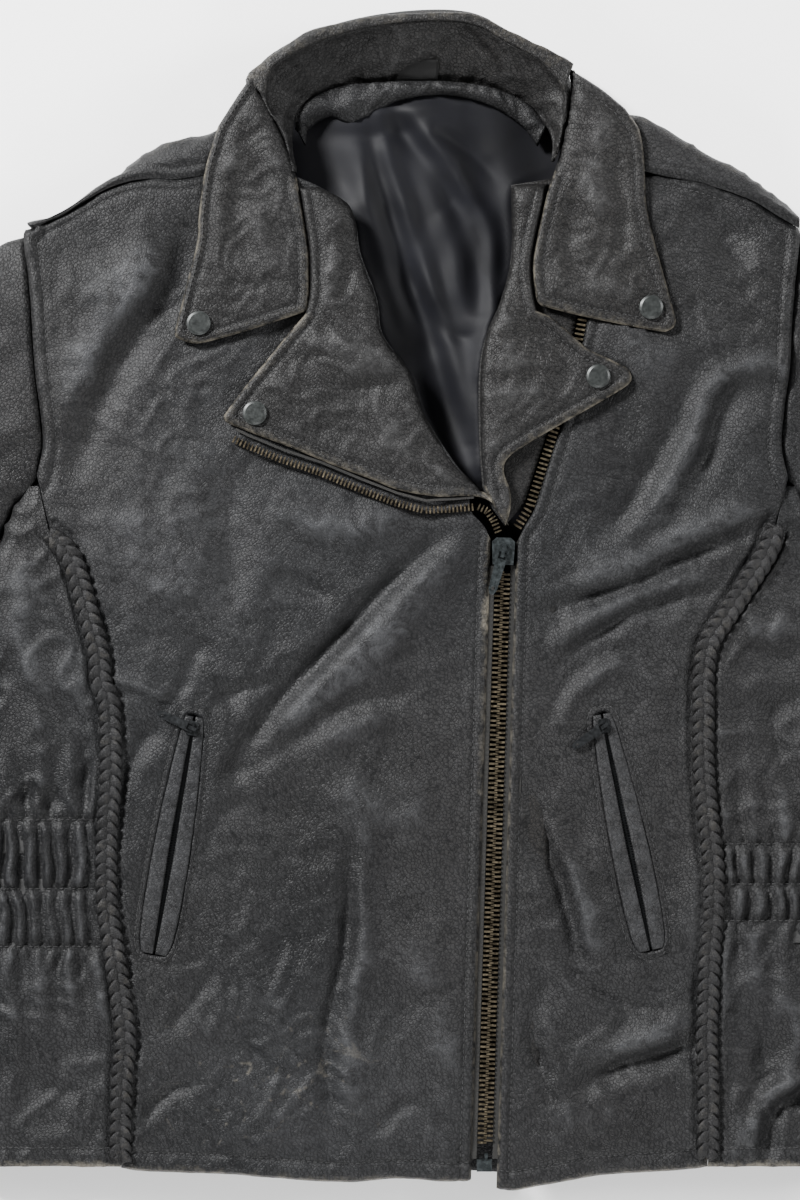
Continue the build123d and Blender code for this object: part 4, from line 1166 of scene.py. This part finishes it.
def braid_piece(line, name, node):
    """Three flat strands plaited along a seam."""
    base = smooth(line, 1.1)
    t = np.gradient(base, axis=0)
    t /= np.linalg.norm(t, axis=1, keepdims=True)
    nrm = np.stack([-t[:, 1], t[:, 0]], 1)
    s = np.r_[0, np.cumsum(np.linalg.norm(np.diff(base, axis=0), axis=1))]
    verts, faces = [], []
    period = 22.0
    taper = ease(s, 0, 10) * 0.5 + 0.5
    for k in range(3):
        a = 2 * math.pi * (s / period + k / 3)
        side = 3.9 * np.sin(a) * taper
        lift = 1.0 * np.sin(2 * a)
        z = TOP + 1.7 + lift + 0.25 * noise(base[:, 0] + 40 * k, base[:, 1], 15, k)
        path = np.c_[base + nrm * side[:, None], z]
        d = np.gradient(path, axis=0)
        d /= np.linalg.norm(d, axis=1, keepdims=True)
        tilt = -0.30 * np.cos(a)[:, None]
        up = np.c_[nrm * tilt, np.ones(len(s))]
        up -= d * (up * d).sum(1, keepdims=True)
        up /= np.linalg.norm(up, axis=1, keepdims=True)
        across = np.cross(d, up)
        v, f = tube(path, across, up, 6.9, 1.9)
        base_index = sum(len(q) for q in verts)
        verts.append(v)
        faces += [[i + base_index for i in face] for face in f]
    verts = np.vstack(verts)
    obj = mesh_object(name, verts, faces)
    paint(obj, "wear", 0.10 * ease(verts[:, 2], TOP + 2.2, TOP + 3.4))
    # Painted highlight on the tops of the strands.
    paint(obj, "crest", 0.45 * ease(verts[:, 2], TOP + 1.8, TOP + 3.4))
    return dress(obj, BRAID_LEATHER, nodes=[node])


braid_piece(BRAID_R + [(-182, -348)], "right_braid_strands", "right_braid")
braid_piece(BRAID_L + [(185, -346)], "left_braid_strands", "left_braid")


def welts(side):
    """Two turned lips of a slanted pocket, with a gap that shows the zip."""
    verts, faces = [], []
    (cx, cy), turn = SLOTS[side]
    c, s = math.cos(turn), math.sin(turn)
    for lip in (-1, 1):
        vs = np.linspace(-75.2, 75.2, 90)
        ring = np.linspace(0, 2 * math.pi, 14, endpoint=False)
        inner = (0.6 + (1.1 + 0.4 * noise(vs, vs * 0 + lip * 5, 40, 2))
                 * np.sin(np.clip((vs + 75) / 150, 0, 1) * math.pi))
        rows = []
        for v, near_edge in zip(vs, inner):
            pinch = ease(abs(v), 75.2, 66)
            a, b = near_edge, max(float(pocket_half(v)) + 1.0, near_edge + 2.5)
            mid, half = (a + b) / 2, (b - a) / 2
            u = lip * (mid + half * np.sign(np.cos(ring)) * np.abs(np.cos(ring)) ** 0.45)
            z = 30.25 + (0.95 + 0.25 * pinch) * np.sign(np.sin(ring)) * np.abs(np.sin(ring)) ** 0.7
            z = z + 0.25 * noise(np.full(14, v), u, 9, 4)
            rows.append(np.stack([cx + u * c - v * s, cy + u * s + v * c, z], 1))
        grid = np.array(rows)
        start = sum(len(q) for q in verts)
        f = grid_faces(90, 14, True)
        verts.append(grid.reshape(-1, 3))
        faces += [[i + start for i in face] for face in f]
        faces += [[start + k for k in range(14)][::-1], [start + 89 * 14 + k for k in range(14)]]
    name = "right" if side < 0 else "left"
    verts = np.vstack(verts)
    obj = mesh_object(name + "_pocket_lips", verts, faces)
    paint(obj, "wear", np.zeros(len(verts)))
    # Painted highlight on the tops of the lips.
    paint(obj, "crest", 0.5 * ease(verts[:, 2], 30.7, 31.3))
    return dress(obj, LEATHER, nodes=[name + "_pocket_welts"])


for _side in (-1, 1):
    welts(_side)


# ------------------------------------------------------------------ linings and inner pieces
lining_loop = np.vstack([
    resample([(-176, -340), (176, -340)], 5), smooth([(176, -50), (218, 60), (226, 228)], 5),
    smooth([(150, 300), (110, 306), (92, 303)], 5),
    smooth([(87, 300), (82, 312), (66, 324), (40, 329), (-8, 331), (-40, 329), (-58, 323), (-73, 312),
            (-80, 300)], 4),
    smooth([(-92, 300), (-148, 284), (-226, 228)], 5), smooth([(-218, 60), (-176, -50)], 5)])
pts, faces = fill(lining_loop, 2.6)
x, y = pts[:, 0], pts[:, 1]
d_r = near(smooth([(-72, 270)] + FOLD_R), x, y)
d_l = near(smooth([(87, 277)] + FOLD_L), x, y)
open_neck = (np.exp(-np.maximum(near(np.array([(0, 330), (0, 260), (30, 160), (45, 60)]), x, y)[0] - 30, 0)
                    / 25) * ease(y, 20, 80))
drift = 12 * noise(x, y, 110, 3)
tilt = (x - 45) * (1.0 + 0.35 * ease(y, 60, 300)) + (y - 60) * 0.26 + drift
z = 7.5 + 2.6 * np.sin(2 * math.pi * tilt / 62) + 1.0 * layered(x, y, 40, 7, 2)
z += folds([(smooth(p, 6), w, h) for p, w, h in [
    ([(-23, 322), (-14, 285), (-3, 245), (10, 205), (22, 165), (38, 100)], 7, 6.0),
    ([(-34, 318), (-24, 280), (-12, 240), (-2, 205), (12, 165), (34, 96)], 7, -4.5),
    ([(-70, 309), (-39, 252), (-17, 196), (11, 134), (39, 78)], 9, -4.0),
    ([(-8, 318), (10, 296), (32, 268), (50, 232), (52, 190), (46, 140)], 6, 5.5),
    ([(-14, 312), (4, 286), (24, 256), (36, 220), (40, 180)], 7, -4.5),
    ([(49, 284), (60, 234), (55, 184), (46, 128)], 6, -4.0), ([(14, 300), (40, 284), (60, 262)], 5, -3.5),
    ([(20, 250), (34, 232), (30, 205), (36, 170)], 9, 3.0),
    ([(-60, 322), (-20, 312), (30, 318), (70, 312)], 5, 3.0),
    ([(-66, 300), (-30, 296), (10, 304)], 6, -2.6), ([(12, 190), (22, 172), (40, 165)], 4, -1.6)]], x, y)
z += 11 * (np.exp(-d_r[0] / 12) + np.exp(-d_l[0] / 12)) * ease(y, 60, 90) * (1 - ease(y, 250, 300))
z = 2.6 + (np.clip(z, 0.4, 24) - 0.4) * open_neck
z = z * (1 - ease(y, 300, 331)) + 5.0 * ease(y, 300, 331)
satin = mesh_object("back_lining_satin", np.c_[x, y, z], faces)
paint(satin, "wear", np.zeros(len(x)))
thicken(satin, 0.35)
dress(satin, SATIN, nodes=["back_lining"])

for _name, _flat, _area, _runs in (("right_front_lining", (0.254, 0.608), 0.1221,
                                    [[(-36, 215), (-24, 175), (0, 128), (22, 84), (26, 40), (16, -350)],
                                     [(-176, -344), (-176, -60), (-222, 60), (-228, 226), (-70, 258)]]),
                     ("left_front_lining", (0.156, 0.600), 0.0614,
                      [[(76, -350), (88, 40), (96, 76), (112, 120), (128, 200), (128, 250)],
                       [(232, 226), (222, 60), (178, -60), (178, -344)]])):
    loop = np.vstack([resample(r, 5) for r in _runs])
    pts, faces = fill(loop, 6.0)
    x, y = pts[:, 0], pts[:, 1]
    z = np.minimum(front_height(x, y) - 6.4, 24.9) + layered(x, y, 30, 2, 2) * 0.8 - 0.8
    obj = mesh_object(_name + "_satin", np.c_[x, y, z], faces)
    thicken(obj, 0.3)
    dress(obj, SATIN, nodes=[_name])


def cloth_plate(name, loops, node, mat, z, thick, waves=0.3, step=4.0):
    """Flat inner pieces of one node, each over its own outline, with slight waves."""
    verts, faces = [], []
    for loop in loops:
        pts, tris = fill(resample(list(loop) + [loop[0]], step)[:-1], step)
        base = sum(len(v) for v in verts)
        verts.append(np.c_[pts, z + thick + layered(pts[:, 0], pts[:, 1], 24, 5, 2) * waves])
        faces += [[i + base for i in tri] for tri in tris]
    verts = np.vstack(verts)
    obj = mesh_object(name, verts, faces)
    paint(obj, "wear", np.zeros(len(verts)))
    paint(obj, "crest", np.zeros(len(verts)))
    thicken(obj, thick)
    return dress(obj, mat, nodes=[node])


facing_loops = [[(float(chain_x(y, a)), y) for a, y in ((-34, 30), (-9.4, 30), (-9.4, -352), (-34, -352))],
                [(float(chain_x(y, a)), y) for a, y in ((9, 30), (34, 30), (34, -352), (9, -352))]]
cloth_plate("front_facings_leather", facing_loops, "front_facings", INNER_LEATHER, 25.9,
            1.1, 0.15)
for _name, s, x in (("right", -1, -148), ("left", 1, 134)):
    bag_loop = [(x - s * 14, -60), (x + s * 10, -60), (x + s * 10, -228), (x - s * 36, -238),
                (x - s * 37, -120)]
    bag = cloth_plate(_name + "_pocket_bag_cloth", [bag_loop], "pocket_bags", SATIN, 25.15, 0.3, 0.1)
elastic_loops = [[(s * 194, y - 6), (s * 278, y - 6), (s * 278, y + 6), (s * 194, y + 6)] for s in (-1, 1)
                 for y in (-150, -178, -206)]
cloth_plate("waist_elastics_band", elastic_loops, "waist_elastics", ELASTIC, 27.5, 1.0, 0.15, 3.0)


def sleeve_lining(side):
    """Satin tube inside a sleeve, a little smaller than the leather."""
    outer = resample([(249, 223), (322, 170), (610, -262)], 8)
    inner = resample([(256, 66), (300, -32), (532, -318)], 8)
    n, m = 60, 16
    outer = outer[np.linspace(0, len(outer) - 1, n).round().astype(int)]
    inner = inner[np.linspace(0, len(inner) - 1, n).round().astype(int)]
    v = (1 - np.cos(np.linspace(0, math.pi, m))) / 2
    rows = []
    for i in range(n):
        across = np.outer(1 - v, outer[i]) + np.outer(v, inner[i])
        bulge = (1 - np.abs(2 * v - 1) ** 3.0) ** (1 / 3.0)
        wave = 0.8 * noise(across[:, 0], across[:, 1], 30, 4)
        up = np.c_[across, 14.2 + (11.4 + wave) * bulge]
        down = np.c_[across, 14.2 - 11.6 * bulge][1:-1][::-1]
        rows.append(np.vstack([up, down]))
    grid = np.array(rows)
    grid[..., 0] *= side
    faces = grid_faces(n, grid.shape[1], True)
    obj = mesh_object(("right" if side < 0 else "left") + "_sleeve_lining", grid.reshape(-1, 3),
                      faces if side < 0 else faces[:, ::-1])
    thicken(obj, 0.3)
    dress(obj, SATIN, nodes=["sleeve_linings"])


for _side in (-1, 1):
    sleeve_lining(_side)

top_line = smooth([(-73, 300), (-71, 311), (-60, 321), (-40, 327.5), (-8, 329.5), (22, 329.5), (50, 325.5),
                   (72, 316), (85, 302)], 1.5)
low_line = smooth([(-68, 290), (-66, 300), (-52, 309), (-40, 305), (-28, 309), (-8, 319), (22, 323),
                   (50, 316), (70, 303), (80, 290)], 1.5)
n = 120
top_line = top_line[np.linspace(0, len(top_line) - 1, n).round().astype(int)]
low_line = low_line[np.linspace(0, len(low_line) - 1, n).round().astype(int)]
v = np.linspace(0, 1, 12)
plan = top_line[:, None] * (1 - v[None, :, None]) + low_line[:, None] * v[None, :, None]
x, y = plan[..., 0], plan[..., 1]
z = (9.5 + 2.2 * np.sin(v * math.pi)[None, :] - 2.2 * v[None, :] ** 4 + ridged(x, y, 13, 4) * 1.6
     + layered(x, y, 20, 2, 2) * 1.2)
grid = np.concatenate([plan, z[..., None]], axis=2)
neck = mesh_object("neck_facing_leather", grid.reshape(-1, 3), grid_faces(n, 12)[:, ::-1])
# Painted highlight on the highest parts of the neck facing.
finish_panel(neck, 1.2, np.zeros(z.size), np.clip(ease(z, 12.4, 14.5), 0, 1).ravel())
dress(neck, LEATHER, nodes=["collar_stand"])

low, high = np.array([3, 331.0, 7.6]), np.array([3, 343.0, 16.6])
grid = np.array([[low + (high - low) * t
                  + (u, 0, 0.5 * noise(u, t * 20, 9, 3)) for t in np.linspace(0, 1, 8)]
                  for u in np.linspace(-13.5, 13.5, 16)])
label = mesh_object("neck_label_cloth", grid.reshape(-1, 3), grid_faces(16, 8))
thicken(label, 0.5)
dress(label, LABEL, nodes=["neck_label"])


# ------------------------------------------------------------------ stitches
def surface(*names):
    """Ray target made of finished pieces, in millimetres."""
    verts, faces = [], []
    for name in names:
        mesh = bpy.data.objects[name].data
        base = len(verts)
        verts += [v.co / MM for v in mesh.vertices]
        faces += [[i + base for i in p.vertices] for p in mesh.polygons]
    return BVHTree.FromPolygons(verts, faces)


def sew(name, target, lines, body="jacket", long=2.6, gap=1.2, wide=0.62, keep=lambda p: True):
    """Rows of stitches lying on a finished surface."""
    verts, faces = [], []
    ring = np.linspace(0, 2 * math.pi, 6, endpoint=False)
    r = wide / 2 * np.array([0.35, 0.9, 1.0, 0.9, 0.35])
    rise = np.array([-0.12, 0.12, 0.2, 0.12, -0.12])
    for line in lines:
        p = resample(line, 0.7)
        hits = [target.ray_cast((a, b, 80.0), (0, 0, -1))[0] for a, b in p]
        p = np.array([tuple(h) for h in hits if h is not None])
        if len(p) < 8:
            continue
        run = np.r_[0, np.cumsum(np.linalg.norm(np.diff(p[:, :2], axis=0), axis=1))]
        for a in np.arange(gap, run[-1] - long, long + gap):
            q = np.stack([np.interp(a + long * np.array([0, 0.15, 0.5, 0.85, 1]), run, p[:, k])
                          for k in range(3)], 1)
            if not keep(q[2]) or np.ptp(q[:, 2]) > 2.5 or np.linalg.norm(q[-1] - q[0]) > 2 * long:
                continue
            d = (q[-1] - q[0]) / np.linalg.norm(q[-1] - q[0])
            n = np.array([-d[1], d[0], 0]) / math.hypot(d[0], d[1])
            up = np.cross(d, n)
            base = len(verts)
            for k in range(5):
                verts += [q[k] + up * (rise[k] + r[k] * math.sin(t)) + n * r[k] * math.cos(t) for t in ring]
            faces += [(base + k * 6 + j, base + k * 6 + (j + 1) % 6, base + k * 6 + 6 + (j + 1) % 6, base
                       + k * 6 + 6 + j)
                      for k in range(4) for j in range(6)]
            faces += [tuple(base + j for j in range(6))[::-1], tuple(base + 24 + j for j in range(6))]
    obj = mesh_object(name, verts, faces)
    return dress(obj, THREAD, body)


right_face = surface("right_front_leather")
left_face = surface("left_front_leather")
sew("right_front_stitches", right_face, [
    [(float(chain_x(38, -15.2)), 38), (float(chain_x(-355, -15.2)), -355)], offset(HEM_R, -12.2),
    pocket_line(-1, 4.3),
    offset(ARM_R, 8.5), offset(YOKE_R, -6.0)])
sew("left_front_stitches", left_face, [
    [(float(chain_x(38, 15.2)), 38), (float(chain_x(-355, 15.2)), -355)], offset(HEM_L, -12.2),
    pocket_line(1, 4.3),
    offset(ARM_L, -8.5), offset(YOKE_L, 6.0), offset(OPEN_ROW, -11.7)])
for _side, _name in ((-1, "right"), (1, "left")):
    _face = surface(_name + "_side_leather")
    rows = [-135, -178, -214] if _side < 0 else [-150, -175, -198]
    lines = [[(_side * 190, row), (_side * 282, row)] for row in rows]
    sew(_name + "_side_stitches", _face, lines + [[(_side * 188, -340), (_side * 288, -340)]])

sew("right_collar_stitches", surface("right_collar_leather"),
    [offset(r, by) for r in (WING_R[2], WING_R[3], WING_R[4], WING_R[1]) for by in (6.3, 2.9)],
    "right_collar")
sew("left_collar_stitches", surface("left_collar_leather"), [offset(r, 6.3) for r in WING_L[1:]],
    "left_collar")
sew("right_lapel_stitches", surface("right_lapel_leather"), [offset(r, -6.3) for r in LAPEL_R[2:]],
    "right_lapel_flap", keep=lambda p: p[0] < 18)
sew("left_lapel_stitches", surface("left_lapel_leather"), [offset(r, 6.3) for r in LAPEL_L[2:]],
    "left_lapel_flap", keep=lambda p: p[1] > 92)


# ------------------------------------------------------------------ hardware
HARD = {"zip_slider": GUNMETAL, "zip_pull": GUNMETAL, "zip_box": GUNMETAL, "snap_studs": GUNMETAL,
        "zip_teeth": BRASS,
        "lapel_zip_teeth": BRASS, "zip_tape": TAPE, "lapel_zip_tape": TAPE, "pocket_tape": TAPE,
        "pocket_teeth": DARK_METAL,
        "pocket_slider": DARK_METAL, "pocket_pull": DARK_METAL, "collar_snap": CAP_ENAMEL,
        "lapel_snap": CAP_ENAMEL}
for node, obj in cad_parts.items():
    for key in (node, node.replace("right_", "").replace("left_", "")):
        if key in HARD:
            obj.data.materials.clear()
            obj.data.materials.append(HARD[key])
            break


# ------------------------------------------------------------------ light, floor and camera
def area(name, at, aim, size, power, colour=(1, 1, 1)):
    """Round area light aimed at a point."""
    data = bpy.data.lights.new(name, "AREA")
    data.shape = "DISK"
    data.size = size
    data.energy = power
    data.color = colour
    obj = bpy.data.objects.new(name, data)
    bpy.context.scene.collection.objects.link(obj)
    obj.location = at
    obj.rotation_euler = (Vector(aim) - Vector(at)).to_track_quat("-Z", "Y").to_euler()
    return obj


area("key", (-2.5, 2.2, 2.2), (0, 0, 0), 0.9, 790)
area("fill", (2.2, 0.6, 1.0), (0, 0, 0), 0.8, 75)
area("foot", (0.3, -2.3, 1.1), (0, 0, 0), 0.9, 84)
world = bpy.data.worlds.new("studio")
world.use_nodes = True
world.node_tree.nodes["Background"].inputs[0].default_value = (1, 1, 1, 1)
world.node_tree.nodes["Background"].inputs[1].default_value = 0.49
bpy.context.scene.world = world

floor_data = bpy.data.meshes.new("floor")
floor_data.from_pydata([(-6, -6, -0.0004), (6, -6, -0.0004), (6, 6, -0.0004), (-6, 6, -0.0004)], [],
                       [(0, 1, 2, 3)])
floor = bpy.data.objects.new("floor", floor_data)
bpy.context.scene.collection.objects.link(floor)
floor_mat, tree, bsdf, at = nodes_of("pale_floor")
bsdf.inputs["Base Color"].default_value = (0.965, 0.965, 0.965, 1)
bsdf.inputs["Roughness"].default_value = 0.9
floor.data.materials.append(floor_mat)

camera_data = bpy.data.cameras.new("camera")
camera = bpy.data.objects.new("camera", camera_data)
bpy.context.scene.collection.objects.link(camera)
camera_data.sensor_fit = "VERTICAL"
camera_data.sensor_height = 36.0
camera_data.lens = 86.4
camera_data.dof.use_dof = False
camera.location = (-0.0075, 0.0025, 1.83)
bpy.context.scene.camera = camera
